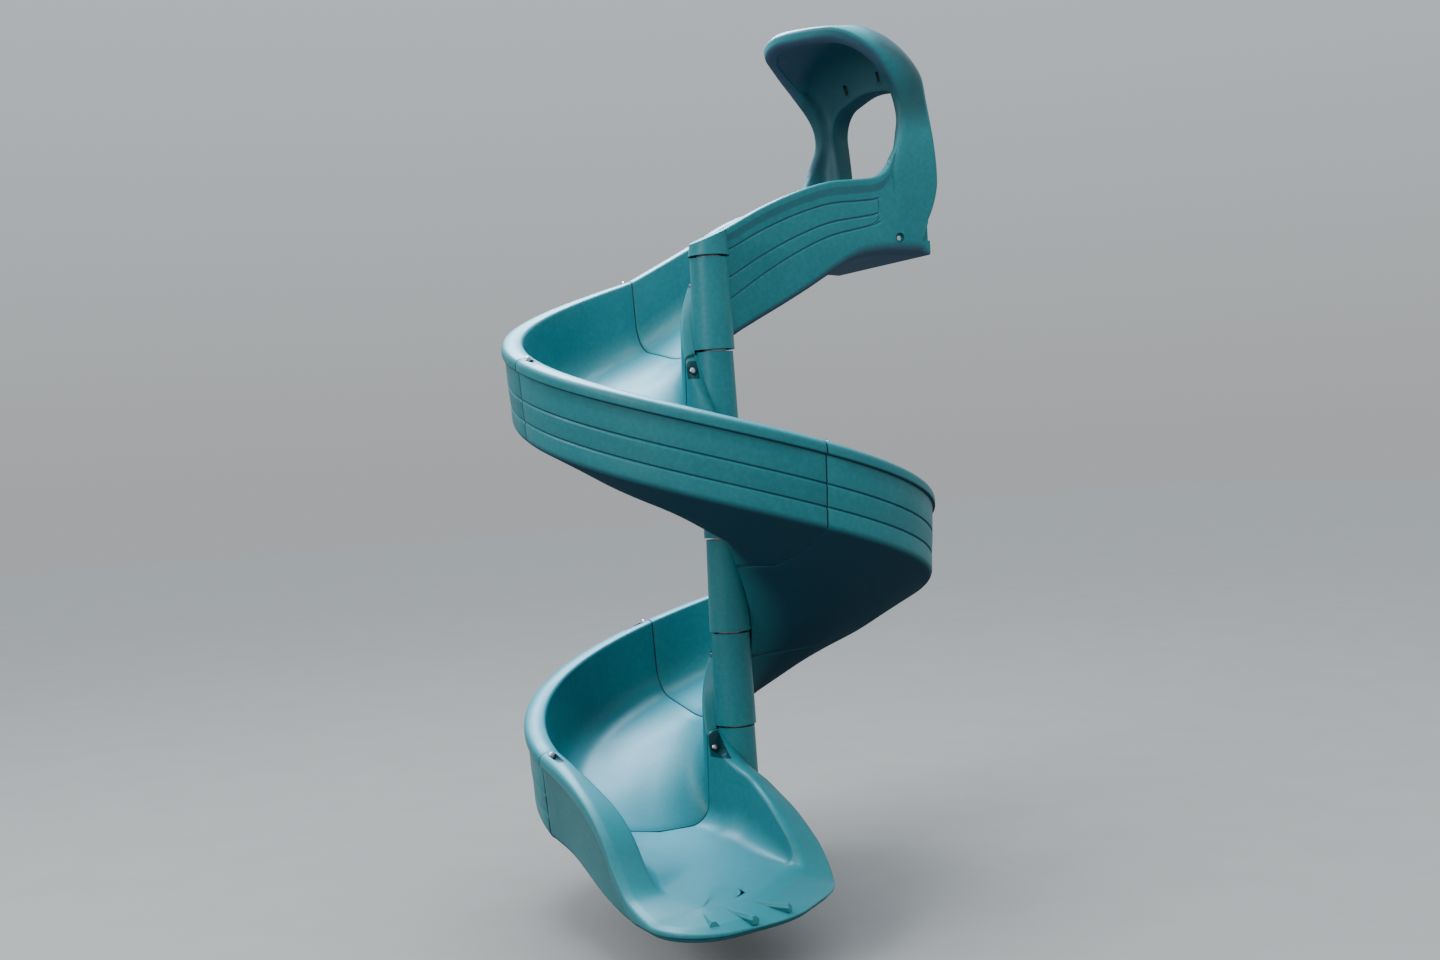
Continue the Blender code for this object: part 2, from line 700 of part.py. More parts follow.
def hood_arch(collection, plastic):
    """Arched wall of the hood, from its rear outline to the rounded lip of its wider front."""
    paths = hood_paths()
    last = len(paths[0]) - 1
    rings = []
    for i in range(last + 1):
        inward = np.zeros(3)
        for path in paths:
            tangent = path[min(i + 1, last)] - path[max(i - 1, 0)]
            inward[1:] += np.array([tangent[1], -tangent[0]]) / np.linalg.norm(tangent)
        inward /= np.linalg.norm(inward)
        rear, front = [np.array([edge(path[i, 1]), *path[i]]) for edge, path in zip((hood_rear, hood_front), paths)]
        reach = np.linalg.norm(front - rear)
        forward = (front - rear) / reach
        bulge = HOOD_BULGE * ease(0.60, 0.93, rear[2] / HOOD_RISE)
        corners = [
            (0, 0, 0.010, 1),
            (0.14 * reach, -0.68 * bulge, 0.100, 1),
            (0.36 * reach, -bulge, 0.150, 1),
            (0.68 * reach, -0.66 * bulge, 0.150, 1),
            (reach, 0, HOOD_WALL / 2, 3),
            (reach, HOOD_WALL, HOOD_WALL / 2, 2),
            (0.45 * reach, HOOD_WALL - 0.8 * bulge, 0.100, 1),
            (0, HOOD_WALL, 0, 0),
        ]
        rings.append([rear + forward * run + inward * depth for run, depth in rounded(corners)])
    arch = loft("hood_arch", rings, plastic, collection)
    # flat faces only, because a Boolean can leave a hole in a twisted one
    triangulate(arch)
    return arch


def flat_plate(name, outlines, thickness, edge, collection, material):
    """Plate from a 2D curve with rounded edges, lying in its own XY plane."""
    curve = bpy.data.curves.new(name, "CURVE")
    curve.dimensions = "2D"
    curve.fill_mode = "BOTH"
    curve.extrude = thickness / 2 - edge
    curve.bevel_depth = edge
    curve.offset = -edge
    curve.bevel_resolution = 1
    for outline in outlines:
        spline = curve.splines.new("POLY")
        spline.points.add(len(outline) - 1)
        for point, (x, y) in zip(spline.points, outline):
            point.co = (x, y, 0, 1)
        spline.use_cyclic_u = True
    shape = bpy.data.objects.new(name + "_curve", curve)
    collection.objects.link(shape)
    mesh = evaluated_mesh(shape)
    bpy.data.objects.remove(shape)
    bm = bmesh.new()
    bm.from_mesh(mesh)
    bmesh.ops.remove_doubles(bm, verts=bm.verts, dist=0.00002)
    return add_object(name, bm, material, collection)


def hood_header(collection, plastic):
    """Thick rear frame of the hood round the doorway to the deck."""
    middle = CHUTE_MIDDLE
    rim = inset(hood_paths()[0][::-1], HOOD_WALL / 2)
    half = DOORWAY_WIDTH / 2
    low = DECK_RISE - 0.060
    doorway = rounded([
        (middle - half + 0.050, low, 0, 0),
        (middle - half + 0.036, 0.42 * HOOD_RISE, 0.300, 2),
        (middle - half, HEADER_BOTTOM - 0.030, 0.110, 4),
        (middle, HEADER_BOTTOM + 0.020, 0.500, 2),
        (middle + half, HEADER_BOTTOM - 0.030, 0.110, 4),
        (middle + half - 0.036, 0.42 * HOOD_RISE, 0.300, 2),
        (middle + half - 0.050, low, 0, 0),
    ])
    # the frame's two feet end on the deck, on either side of the doorway
    feet = [tuple(point) for point in rim if point[1] > low]
    plate = flat_plate("hood_header", [feet + [tuple(point) for point in doorway]], HEADER_THICKNESS,
                       HEADER_EDGE, collection, plastic)
    upright = Matrix(((0, 0, 1, 0), (1, 0, 0, 0), (0, 1, 0, 0), (0, 0, 0, 1)))
    rear = HOOD_REAR - HEADER_SETBACK
    plate.matrix_world = Matrix.Translation((rear - HEADER_THICKNESS / 2, 0, 0)) @ upright
    join_or_cut(plate, [heel_cutter(collection, plastic)], "DIFFERENCE")
    return plate


def heel_cutter(collection, material):
    """Cuts the feet of the header back to the legs' rear edge."""
    heights = [HOOD_RISE * share for share in (0.0, 0.09, 0.14, 0.20, 0.28, 0.36)]
    side = [(hood_rear(z) - HEADER_SETBACK, z) for z in heights]
    side += [(HOOD_REAR + HOOD_WALL, heights[-1]), (HOOD_REAR + HOOD_WALL, 0)]
    ends = (NEAR_FACE - HOOD_WALL, OUTER_RADIUS + HOOD_WALL)
    return loft("heel", [[(x, y, z) for x, z in side] for y in ends], material, collection)


def hub_cap(collection, plastic):
    """Closed end of the entry's inner rim, round the top of the pole, with a slanted top."""
    sides = ROUND_SIDES
    low = HUB_GAP / 2
    rings = []
    for level in (0, 1):
        ring = []
        for k in range(sides):
            angle = 2 * math.pi * k / sides
            radius = HUB_BOTTOM_RADIUS if level == 0 else HUB_TOP_RADIUS
            x = radius * math.cos(angle)
            slope = near_rim(0) + (near_rim(HUB_BLEND) - near_rim(0)) * x / HUB_BLEND
            ring.append((x, radius * math.sin(angle), low if level == 0 else slope))
        rings.append(ring)
    return loft("hub_cap", rings, plastic, collection)


def deck_bolt_places():
    """Frames of the two bolts through the foot of the hood's legs; +Z points out of the wall."""
    places = []
    for y, turn in ((NEAR_FACE, math.pi / 2), (2 * CHUTE_MIDDLE - NEAR_FACE, -math.pi / 2)):
        spot = Matrix.Translation((ENTRY_LENGTH - DECK_BOLT_BACK, y, DECK_BOLT_RISE))
        places.append(spot @ Matrix.Rotation(turn, 4, "X"))
    return places


def add_deck_bolts(collection, zinc):
    for name, place in zip(("near_deck_bolt", "far_deck_bolt"), deck_bolt_places()):
        bolt = bolt_mesh(name, DECK_BOLT_LENGTH, zinc, collection)
        bolt.matrix_world = Matrix.Translation((0, 0, TOP_SEAM_HEIGHT)) @ place @ Matrix.Translation(
            (0, 0, -DECK_RECESS_DEPTH))


def add_entry(collection, cutters, plastic):
    entry = entry_trough(collection, plastic)
    slip = slip_cutter("slip", HUB_GAP / 2, cutters, plastic)
    join_or_cut(entry, [slip], "DIFFERENCE")
    additions = [hub_cap(cutters, plastic), hood_arch(cutters, plastic), hood_header(cutters, plastic)]
    join_or_cut(entry, additions, "UNION")
    bore = [(0, CAP_BORE), (BORE_RADIUS, CAP_BORE), (BORE_RADIUS, -1.0), (0, -1.0)]
    tools = [turned("bore", bore, ROUND_SIDES, plastic, cutters)]
    tools += joint_cutters(joint_frame(math.pi / 2, 0), False, cutters, plastic)
    for place in deck_bolt_places():
        tools.append(rod("recess", DECK_RECESS_RADIUS, -DECK_RECESS_DEPTH, 0.05, place, cutters, plastic))
        seat = place @ Matrix.Translation((0, 0, -DECK_RECESS_DEPTH))
        tools.append(rod("hole", INSERT_BORE / 2, -DECK_BOLT_LENGTH - FIT, 0.01, seat, cutters, plastic))
    join_or_cut(entry, tools, "DIFFERENCE")
    shade(entry)
    entry.location = (0, 0, TOP_SEAM_HEIGHT)
    return entry


# Exit section


def exit_outline():
    """Plan of the exit's edge as (x, y): outer side, rounded nose, inner side."""
    inner = ROOT_RADIUS - 0.015
    flare = inner - EXIT_FLARE
    near = JOINT_GAP / 2
    corners = [
        (-OUTER_RADIUS, -near, 0, 0),
        (-OUTER_RADIUS, -EXIT_LENGTH, 0.280, 12),
        (-0.33, -EXIT_LENGTH + 0.075, 0.350, 6),
        (-flare, -EXIT_INNER_LENGTH, 0.400, 6),
        (-flare, -0.250, 0.300, 4),
        (-inner, -near, 0, 0),
    ]
    return rounded(corners, closed=False)


def exit_crown(run, inner_side):
    """Height of the rim along the exit, falling into the lip."""
    outer = [(0, -0.002), (0.13, -0.027), (0.32, -0.085), (0.45, -0.147), (0.535, -0.212), (0.60, -0.285),
             (0.68, -0.355), (0.77, -0.385), (0.85, -EXIT_LIP_DROP)]
    inner = [(0, -0.006), (0.08, -0.085), (0.234, -0.145), (0.42, -0.212), (0.54, -0.280), (0.645, -0.350),
             (0.74, -EXIT_LIP_DROP)]
    return curve_at(inner if inner_side else outer, run)


def exit_section_points(run, share):
    """Half cross-section of the exit: (distance in from the edge, height), middle of the floor last."""
    crown = exit_crown(run, share > 0.5)
    floor = -CHUTE_DEPTH - EXIT_FLOOR_DROP * ease(0, 0.75, run)
    foot = curve_at([(0, -FOOT_DEPTH), (0.227, -0.330), (0.416, -0.380), (0.523, -0.410),
                     (0.646, -EXIT_BOTTOM_DROP + 0.004), (0.80, -EXIT_BOTTOM_DROP)], run)
    foot = mix(foot, -BELLY_DEPTH - 0.008 * ease(0, 0.6, run), ease(0.55, 0.9, share))
    wall = max(crown - floor, 0)
    tilt = FLOOR_TILT * mix(1, 0, ease(0.3, 0.8, share)) * wall / CHUTE_DEPTH
    low = -EXIT_BOTTOM_DROP
    # the rim widens into a flange that slopes in on the outer side and out on the inner side
    flange = ease(0.05, 0.35, run)
    inner = ease(0.35, 0.65, share)
    lip = 1 - ease(0, 0.06, wall)
    width = BEAD_WIDTH + EXIT_FLANGE_GAIN * ease(0.10, 0.55, run)
    edge = mix(0.014, mix(0.010, 0.030, inner), flange)
    crest = mix(0.50, mix(0.25, 0.80, inner), flange)
    inside = mix(crown - mix(0.008, 0.012, flange), mix(crown, floor, 0.55), lip)
    corners = [
        (mix(0.400, 0.300, share), -BELLY_DEPTH - 0.008 * ease(0, 0.6, run), 0, 0),
        (mix(0.205, 0.150, share), mix(-BELLY_DEPTH + 0.057, low, ease(0, 0.5, run + share)), 0.120, 2),
        (mix(0.028, 0.014, ease(0.1, 0.5, run)), foot, mix(0.035, 0.016, ease(0.1, 0.5, run)), 2),
        (BEAD_OVERHANG, max(crown - BEAD_HEIGHT - 0.004, foot + 0.010), 0, 0),
        (0, max(crown - BEAD_HEIGHT, foot + 0.014), 0.010, 1),
        (0, max(crown - edge, foot + 0.020), mix(0.022, 0.014, flange), 2),
        (crest * width, crown, mix(0.060, 0.035, flange), 1),
        (width, inside, mix(0.018, 0.050, lip), 2),
        (width + mix(mix(0.027, 0.012, share), 0.055, lip), floor + tilt,
         mix(mix(0.130, 0.080, share), 0.180, flange), 4),
        (mix(0.400, 0.300, share), floor, 0, 0),
    ]
    return rounded(corners, closed=False)


def exit_ribs(collection, material):
    """Wedges that leave the floor flush with it, run out over the lip and end in a step."""
    foot = (CHUTE_DEPTH + EXIT_FLOOR_DROP - BELLY_DEPTH) / 2
    ribs = []
    for x, back, turn, length in RIBS:
        rings = []
        for run, top, width in ((0, -0.002, 0.5 * RIB_WIDTH), (length, -0.008, RIB_WIDTH)):
            rings.append([(-width / 2, -run, foot), (width / 2, -run, foot),
                          (0.3 * width, -run, top), (-0.3 * width, -run, top)])
        rib = loft("rib", rings, material, collection)
        spot = Matrix.Translation((x, back - EXIT_LENGTH, -CHUTE_DEPTH - EXIT_FLOOR_DROP))
        rib.matrix_world = spot @ Matrix.Rotation(turn, 4, "Z")
        ribs.append(rib)
    return ribs


def add_exit(collection, cutters, plastic):
    """Exit chute: a half cross-section swept round the edge from one side of the joint to the other."""
    outline = exit_outline()
    stations = resample(outline, EXIT_STATIONS + 1)
    near = JOINT_GAP / 2
    brk = EDGE_BREAK
    stations = np.vstack([stations[:1], stations[:1] + [0, -brk], stations[1:-1],
                          stations[-1:] + [0, -brk], stations[-1:]])
    count = len(stations)
    half = (count - 1) // 2
    spine_start = np.array([-INNER_WALL - 0.36 * CHUTE_WIDTH, -near])
    spine_end = np.array([-CHUTE_MIDDLE, 0.275 - EXIT_LENGTH])
    bm = bmesh.new()
    spine = {}
    rows = []
    for i, point in enumerate(stations):
        before = stations[max(i - 1, 0)]
        after = stations[min(i + 1, count - 1)]
        tangent = (after - before) / np.linalg.norm(after - before)
        inward = np.array([-tangent[1], tangent[0]])
        run = -point[1]
        share = i / (count - 1)
        section = exit_section_points(run, share)
        side = min(i, count - 1 - i)
        if side not in spine:
            t = side / half
            place = mix(spine_start, spine_end, t)
            if side in (0, 1):
                place = np.array([spine_start[0], point[1]])
            spine[side] = (bm.verts.new((place[0], place[1], section[0][1])),
                           bm.verts.new((place[0], place[1], section[-1][1])))
        row = [spine[side][0]]
        for distance, height in section[1:-1]:
            x, y = point + inward * distance
            row.append(bm.verts.new((x, y, height)))
        row.append(spine[side][1])
        rows.append(row)
    for low, high in zip(rows, rows[1:]):
        for i in range(len(low) - 1):
            corners = [low[i], low[i + 1], high[i + 1], high[i]]
            unique = list(dict.fromkeys(corners))
            if len(unique) > 2:
                bm.faces.new(unique)
    bm.faces.new(rows[0] + rows[-1][-2:0:-1])
    section = add_object("exit_section", bm, plastic, collection)

    core = [(0, 0.1), (ROOT_RADIUS, 0.1), (ROOT_RADIUS, -1.0), (0, -1.0)]
    join_or_cut(section, [turned("core", core, ROUND_SIDES, plastic, cutters)], "DIFFERENCE")
    join_or_cut(section, exit_ribs(cutters, plastic), "UNION")
    add_hub(section, cutters, plastic)
    join_or_cut(section, joint_cutters(joint_frame(math.pi, 0), True, cutters, plastic), "DIFFERENCE")
    shade(section)
    section.location = (0, 0, EXIT_SEAM_HEIGHT)
    return section


# Pole


def add_pole(collection, cutters, steel):
    """Steel tube welded to a square base plate, with the collar that carries the stack of hubs."""
    collar_top = EXIT_SEAM_HEIGHT - SECTION_DROP + HUB_GAP / 2 - JOINT_GAP
    top = TOP_SEAM_HEIGHT + 0.030
    inside = POLE_RADIUS - POLE_WALL
    collar = HUB_TOP_RADIUS
    floor = BASE_PLATE_THICKNESS / 2
    profile = [
        (0, floor / 2), (POLE_RADIUS, floor / 2),
        (POLE_RADIUS, collar_top - COLLAR_THICKNESS), (collar, collar_top - COLLAR_THICKNESS),
        (collar, collar_top), (POLE_RADIUS, collar_top),
        (POLE_RADIUS, top), (inside, top), (inside, BASE_PLATE_THICKNESS), (0, BASE_PLATE_THICKNESS),
    ]
    pole = turned("center_pole", profile, ROUND_SIDES, steel, collection)
    half = BASE_PLATE_SIDE / 2
    outline = rounded([(-half, -half, BASE_PLATE_CORNER, 3), (half, -half, BASE_PLATE_CORNER, 3),
                       (half, half, BASE_PLATE_CORNER, 3), (-half, half, BASE_PLATE_CORNER, 3)])
    rings = [[(x, y, z) for x, y in outline] for z in (0, BASE_PLATE_THICKNESS)]
    join_or_cut(pole, [loft("base_plate", rings, steel, cutters)], "UNION")
    holes = []
    for x in (-0.5, 0.5):
        for y in (-0.5, 0.5):
            place = Matrix.Translation((x * ANCHOR_HOLE_SPACING, y * ANCHOR_HOLE_SPACING, 0))
            radius = ANCHOR_HOLE_DIAMETER / 2
            profile = [(0, 0.05), (radius, 0.05), (radius, -0.05), (0, -0.05)]
            hole = turned("anchor_hole", profile, 12, steel, cutters)
            hole.matrix_world = place
            holes.append(hole)
    join_or_cut(pole, holes, "DIFFERENCE")
    shade(pole)
    return pole


def main():
    for thing in list(bpy.data.objects):
        bpy.data.objects.remove(thing)
    collection = new_collection("spiral_slide")
    cutters = new_collection("cutters")
    plastic = make_material("moulded_plastic", PLASTIC, 0.42, 0.0)
    steel = make_material("galvanised_steel", STEEL, 0.45, 0.9)
    zinc = make_material("zinc_bolt", ZINC, 0.35, 0.9)
    brass = make_material("brass_insert", BRASS, 0.40, 0.9)
    add_pole(collection, cutters, steel)
    add_entry(collection, cutters, plastic)
    add_spiral_sections(collection, cutters, plastic)
    add_exit(collection, cutters, plastic)
    add_deck_bolts(collection, zinc)
    add_joint_hardware(collection, zinc, brass)


main()
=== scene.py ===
"""Looks of the spiral slide: finely moulded chute sections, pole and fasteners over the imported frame."""
from contextlib import contextmanager
import math

import bmesh
import bpy
import numpy as np
from mathutils import Matrix, Vector
from mathutils.bvhtree import BVHTree


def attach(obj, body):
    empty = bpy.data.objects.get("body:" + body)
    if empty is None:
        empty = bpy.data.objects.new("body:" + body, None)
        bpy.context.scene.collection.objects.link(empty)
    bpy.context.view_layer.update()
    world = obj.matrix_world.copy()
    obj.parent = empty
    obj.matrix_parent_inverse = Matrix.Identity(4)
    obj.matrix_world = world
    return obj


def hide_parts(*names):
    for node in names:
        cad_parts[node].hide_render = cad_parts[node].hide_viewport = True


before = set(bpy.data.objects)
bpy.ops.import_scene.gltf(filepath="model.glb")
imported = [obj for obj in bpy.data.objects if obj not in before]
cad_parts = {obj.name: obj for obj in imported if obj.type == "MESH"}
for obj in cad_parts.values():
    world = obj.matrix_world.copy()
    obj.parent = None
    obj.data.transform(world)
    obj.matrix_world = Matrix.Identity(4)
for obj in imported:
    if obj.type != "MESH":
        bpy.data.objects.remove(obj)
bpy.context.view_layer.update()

# Pole and base
POLE_DIAMETER = 0.0889
POLE_WALL = 0.004
BASE_PLATE_SIDE = 0.250
BASE_PLATE_THICKNESS = 0.0127
BASE_PLATE_CORNER = 0.020
ANCHOR_HOLE_DIAMETER = 0.018
ANCHOR_HOLE_SPACING = 0.190
COLLAR_THICKNESS = 0.012

# Spiral
SECTION_DROP = 0.340
SPIRAL_SECTIONS = 5
EXIT_SEAM_HEIGHT = 0.625
SPIRAL_STEPS = 36

# Section hub
HUB_CLEARANCE = 0.0015
HUB_WALL = 0.023
HUB_DRAFT = 0.0065
HUB_GAP = 0.008
HUB_SLIP = 0.002
LEDGE_WIDTH = 0.052

# Chute cross-section; depths are below the seam height of the hub
CHUTE_WIDTH = 0.560
CHUTE_DEPTH = 0.345
BEAD_WIDTH = 0.0775
BEAD_HEIGHT = 0.050
BEAD_OVERHANG = 0.0105
FOOT_DEPTH = 0.297
BELLY_DEPTH = 0.442
FLOOR_TILT = 0.060
WALL_LEAN = 0.014
GROOVE_HEIGHT = 0.012
GROOVE_CUT = 0.005
GROOVE_DEPTHS = (0.151, 0.2267)
LEDGE_EDGE = 0.0095
FLOOR_MIDDLE = 0.36
# the belly's two corners: distance in from the rim or out from the inner wall, and rise
BELLY_OUTER = (0.205, 0.057)
BELLY_INNER = (0.232, 0.009)

# Joints between sections
JOINT_GAP = 0.0003
EDGE_BREAK = 0.003
BOLT_DIAMETER = 0.010
BOLT_HEAD_DIAMETER = 0.024
BOLT_HEAD_HEIGHT = 0.007
BOLT_SOCKET = 0.0034
INSERT_DIAMETER = 0.016
INSERT_LENGTH = 0.025
INSERT_FLOOR = 0.003
FIT = 0.0003
POCKET_RADIUS = 0.014
HUB_POCKET_RADIUS = 0.0195
POCKET_LENGTH = 0.090
RIM_SEAT = 0.022
RIM_BOLT_DEPTH = 0.014
HUB_SEAT = 0.015
HUB_BOLT_DEPTH = 0.070
BELLY_SEAT = 0.040
BELLY_BOLT_DEPTH = 0.330
FASTENER_SIDES = 32
ROUND_SIDES = 96
WELD_DISTANCE = 0.00003
SHARP_ANGLE = math.radians(40)

# Entry section
ENTRY_LENGTH = 1.000
DECK_RISE = 0.113
NEAR_FACE = 0.045
NEAR_OVERHANG = 0.008
NEAR_RIM_WIDTH = 0.075
NEAR_BEAD_HEIGHT = 0.028
RIM_RISE = 0.420
HUB_BLEND = 0.120
DECK_THICKNESS = 0.095
HOOD_RISE = 1.002
HOOD_SHOULDER = 0.745
HOOD_WALL = 0.046
HOOD_OVERHANG = 0.050
HOOD_REACH = 0.495
HOOD_BOW = 0.016
HOOD_SHOULDER_INSET = 0.066
HOOD_REAR_RISE = 1.000
HOOD_NECK = 0.036
HOOD_LIP_SPREAD = 0.006
HOOD_LIP_RISE = 0.940
HOOD_BULGE = 0.056
HOOD_ROLL = 0.007
HOLLOW_DEPTH = 0.115
HEADER_SLOT = (0.021, 0.042)
HEADER_SLOT_SPREAD = 0.124
HEADER_SLOT_RISE = 0.765
HEADER_THICKNESS = 0.080
HEADER_SETBACK = 0.008
HEADER_BOTTOM = 0.705
HEADER_EDGE = 0.012
HOOD_STATIONS = 40
DOORWAY_WIDTH = 0.545
DECK_BOLT_BACK = 0.138
DECK_BOLT_RISE = 0.083
DECK_BOLT_LENGTH = 0.040
DECK_RECESS_RADIUS = 0.020
DECK_RECESS_DEPTH = 0.012

# Exit section
EXIT_LENGTH = 1.075
EXIT_INNER_LENGTH = 0.735
EXIT_FLARE = 0.042
EXIT_FLOOR_DROP = 0.033
EXIT_BOTTOM_DROP = 0.438
EXIT_LIP_DROP = 0.398
EXIT_FLANGE_GAIN = 0.035
RIB_WIDTH = 0.024
# each rib's start (x, distance from the nose), its turn towards +X and its length
RIBS = ((-0.595, 0.225, -0.154, 0.150), (-0.542, 0.225, 0.280, 0.175), (-0.453, 0.225, 0.710, 0.158))
EXIT_STATIONS = 120

# Worked out from the sizes above
POLE_RADIUS = POLE_DIAMETER / 2
BORE_RADIUS = POLE_RADIUS + HUB_CLEARANCE
HUB_TOP_RADIUS = BORE_RADIUS + HUB_WALL
HUB_BOTTOM_RADIUS = HUB_TOP_RADIUS + HUB_DRAFT
SLIP_RADIUS = HUB_BOTTOM_RADIUS + HUB_SLIP
INNER_WALL = HUB_BOTTOM_RADIUS + LEDGE_WIDTH
OUTER_WALL = INNER_WALL + CHUTE_WIDTH
OUTER_RADIUS = OUTER_WALL + BEAD_WIDTH
ROOT_RADIUS = HUB_TOP_RADIUS - 0.6 * HUB_WALL
HUB_BOTTOM = HUB_GAP / 2 - SECTION_DROP
TOP_SEAM_HEIGHT = EXIT_SEAM_HEIGHT + SPIRAL_SECTIONS * SECTION_DROP
HOOD_REAR = ENTRY_LENGTH + HOOD_OVERHANG
HEADER_REAR = HOOD_REAR - HEADER_SETBACK
HEADER_FRONT = HEADER_REAR - HEADER_THICKNESS
HEADER_FOOT = DECK_RISE - 0.060
RIM_BOLT_RADIUS = OUTER_RADIUS - BEAD_WIDTH / 2
HUB_BOLT_RADIUS = (SLIP_RADIUS + INNER_WALL) / 2 - 0.004
BELLY_BOLT_RADIUS = INNER_WALL - 0.010
CHUTE_MIDDLE = (INNER_WALL + OUTER_WALL) / 2
INSERT_BORE = BOLT_DIAMETER + 2 * FIT
QUARTERS = ((-1, -1), (1, -1), (1, 1), (-1, 1))

slide, cutters = [bpy.data.collections.new(name) for name in ("spiral_slide", "cutters")]
for group in (slide, cutters):
    bpy.context.scene.collection.children.link(group)


def mix(a, b, t):
    return a + (b - a) * t


def ease(start, end, value):
    """Smooth step from 0 at start to 1 at end."""
    t = min(max((value - start) / (end - start), 0.0), 1.0)
    return t * t * (3 - 2 * t)


def curve_at(points, position):
    """Height of a smooth curve through a few (position, height) points."""
    xs, ys = np.array(points).T
    position = min(max(position, xs[0]), xs[-1])
    i = max(int(np.searchsorted(xs, position)) - 1, 0)
    slopes = np.diff(ys) / np.diff(xs)
    before = (slopes[max(i - 1, 0)] + slopes[i]) / 2
    after = (slopes[i] + slopes[min(i + 1, len(slopes) - 1)]) / 2
    span = xs[i + 1] - xs[i]
    t = (position - xs[i]) / span
    rise = ys[i + 1] - ys[i]
    return ys[i] + rise * t * t * (3 - 2 * t) + span * t * (1 - t) * (before * (1 - t) - after * t)


def rounded(corners, closed=True):
    """Points of an outline with rounded corners, given as (x, y, radius, steps)."""
    points = []
    count = len(corners)
    for i, (x, y, radius, steps) in enumerate(corners):
        here = np.array([x, y])
        if steps == 0 or not closed and i in (0, count - 1):
            points.append(here)
            continue
        ways = [np.array(corners[k % count][:2]) - here for k in (i - 1, i + 1)]
        room = 0.48 * min(np.linalg.norm(way) for way in ways)
        before, after = [way / np.linalg.norm(way) for way in ways]
        half = 0.5 * math.acos(float(np.clip(before @ after, -1, 1)))
        reach = min(radius / math.tan(half), room) if half < 1.5 else min(radius, room)
        weight = math.sin(half)
        for t in np.linspace(0, 1, 2 * steps + 3):
            parts = ((1 - t) ** 2, 2 * weight * t * (1 - t), t ** 2)
            point = parts[0] * (here + before * reach) + parts[1] * here + parts[2] * (here + after * reach)
            points.append(point / sum(parts))
    return np.array(points)


def rounded_box(across, up, radius, steps):
    """Rectangle about the origin with the given half sides."""
    return rounded([(x * across, y * up, radius, steps) for x, y in QUARTERS])


def resample(points, count):
    """The same polyline with a set number of points at equal distances."""
    steps = np.linalg.norm(np.diff(points, axis=0), axis=1)
    along = np.concatenate([[0], np.cumsum(steps)])
    where = np.linspace(0, along[-1], count)
    return np.column_stack([np.interp(where, along, points[:, k]) for k in range(points.shape[1])])


def divided(points, longest):
    """A closed outline whose long straight stretches are cut into shorter ones."""
    result = []
    for here, there in zip(points, np.roll(points, -1, axis=0)):
        pieces = max(1, math.ceil(float(np.linalg.norm(there - here)) / longest))
        result += [mix(here, there, k / pieces) for k in range(pieces)]
    return np.array(result)


def inset(points, distance):
    """A closed outline moved inwards by a distance, whichever way round it runs."""
    following = np.roll(points, -1, axis=0)
    turn = np.sign(np.sum(points[:, 0] * following[:, 1] - following[:, 0] * points[:, 1]))
    ways = following - points
    ways /= np.linalg.norm(ways, axis=1)[:, None]
    after = turn * ways[:, ::-1] * [-1, 1]
    before = np.roll(after, 1, axis=0)
    scale = 1 + np.sum(before * after, axis=1)
    return points + distance * (before + after) / np.maximum(scale, 0.35)[:, None]


def sideways(path):
    """Unit vectors across a path, to the right of its direction."""
    ways = np.gradient(path, axis=0)
    return ways[:, ::-1] * [1, -1] / np.linalg.norm(ways, axis=1)[:, None]


def add_object(name, bm, material=None, home=None):
    """Put a mesh in the slide, or among the cutters when it has no material."""
    bmesh.ops.recalc_face_normals(bm, faces=bm.faces)
    mesh = bpy.data.meshes.new(name)
    bm.to_mesh(mesh)
    bm.free()
    thing = bpy.data.objects.new(name, mesh)
    if material:
        mesh.materials.append(material)
    (home or (slide if material else cutters)).objects.link(thing)
    return thing


def bridge(bm, rows, count):
    """Faces between neighbouring rows of points; a row may also be a single point."""
    for low, high in zip(rows, rows[1:]):
        for i in range(count):
            pairs = [(low, i), (low, i + 1), (high, i + 1), (high, i)]
            bm.faces.new(tuple(dict.fromkeys(row[k % len(row)] for row, k in pairs)))


def loft(rings, name="tool", material=None):
    """Closed solid through rings with equal numbers of points."""
    bm = bmesh.new()
    rows = [[bm.verts.new(point) for point in ring] for ring in rings]
    bridge(bm, rows, len(rows[0]))
    bm.faces.new(rows[0])
    bm.faces.new(rows[-1])
    return add_object(name, bm, material)


def prism(outline, axis, ends):
    """Straight piece with a flat outline, between two places on the axis that it lacks."""
    return loft([np.insert(outline, axis, end, axis=1) for end in ends])


def circle(radius, sides=ROUND_SIDES):
    angles = [2 * math.pi * k / sides for k in range(sides)]
    return [(radius * math.cos(a), radius * math.sin(a)) for a in angles]


def turned(profile, sides=ROUND_SIDES, name="tool", material=None):
    """Solid of revolution about Z from (radius, height) points, closed on the axis or into a ring."""
    bm = bmesh.new()
    rows = []
    for radius, height in profile:
        points = circle(radius, sides) if radius else [(0, 0)]
        rows.append([bm.verts.new((x, y, height)) for x, y in points])
    bridge(bm, rows if len(rows[0]) == 1 else rows + rows[:1], sides)
    return add_object(name, bm, material)


@contextmanager
def edited(thing):
    """The mesh of a thing for editing, which is written back afterwards."""
    bm = bmesh.new()
    bm.from_mesh(thing.data)
    yield bm
    bm.to_mesh(thing.data)
    bm.free()


def evaluated_mesh(thing):
    bpy.context.view_layer.update()
    depsgraph = bpy.context.evaluated_depsgraph_get()
    return bpy.data.meshes.new_from_object(thing.evaluated_get(depsgraph))


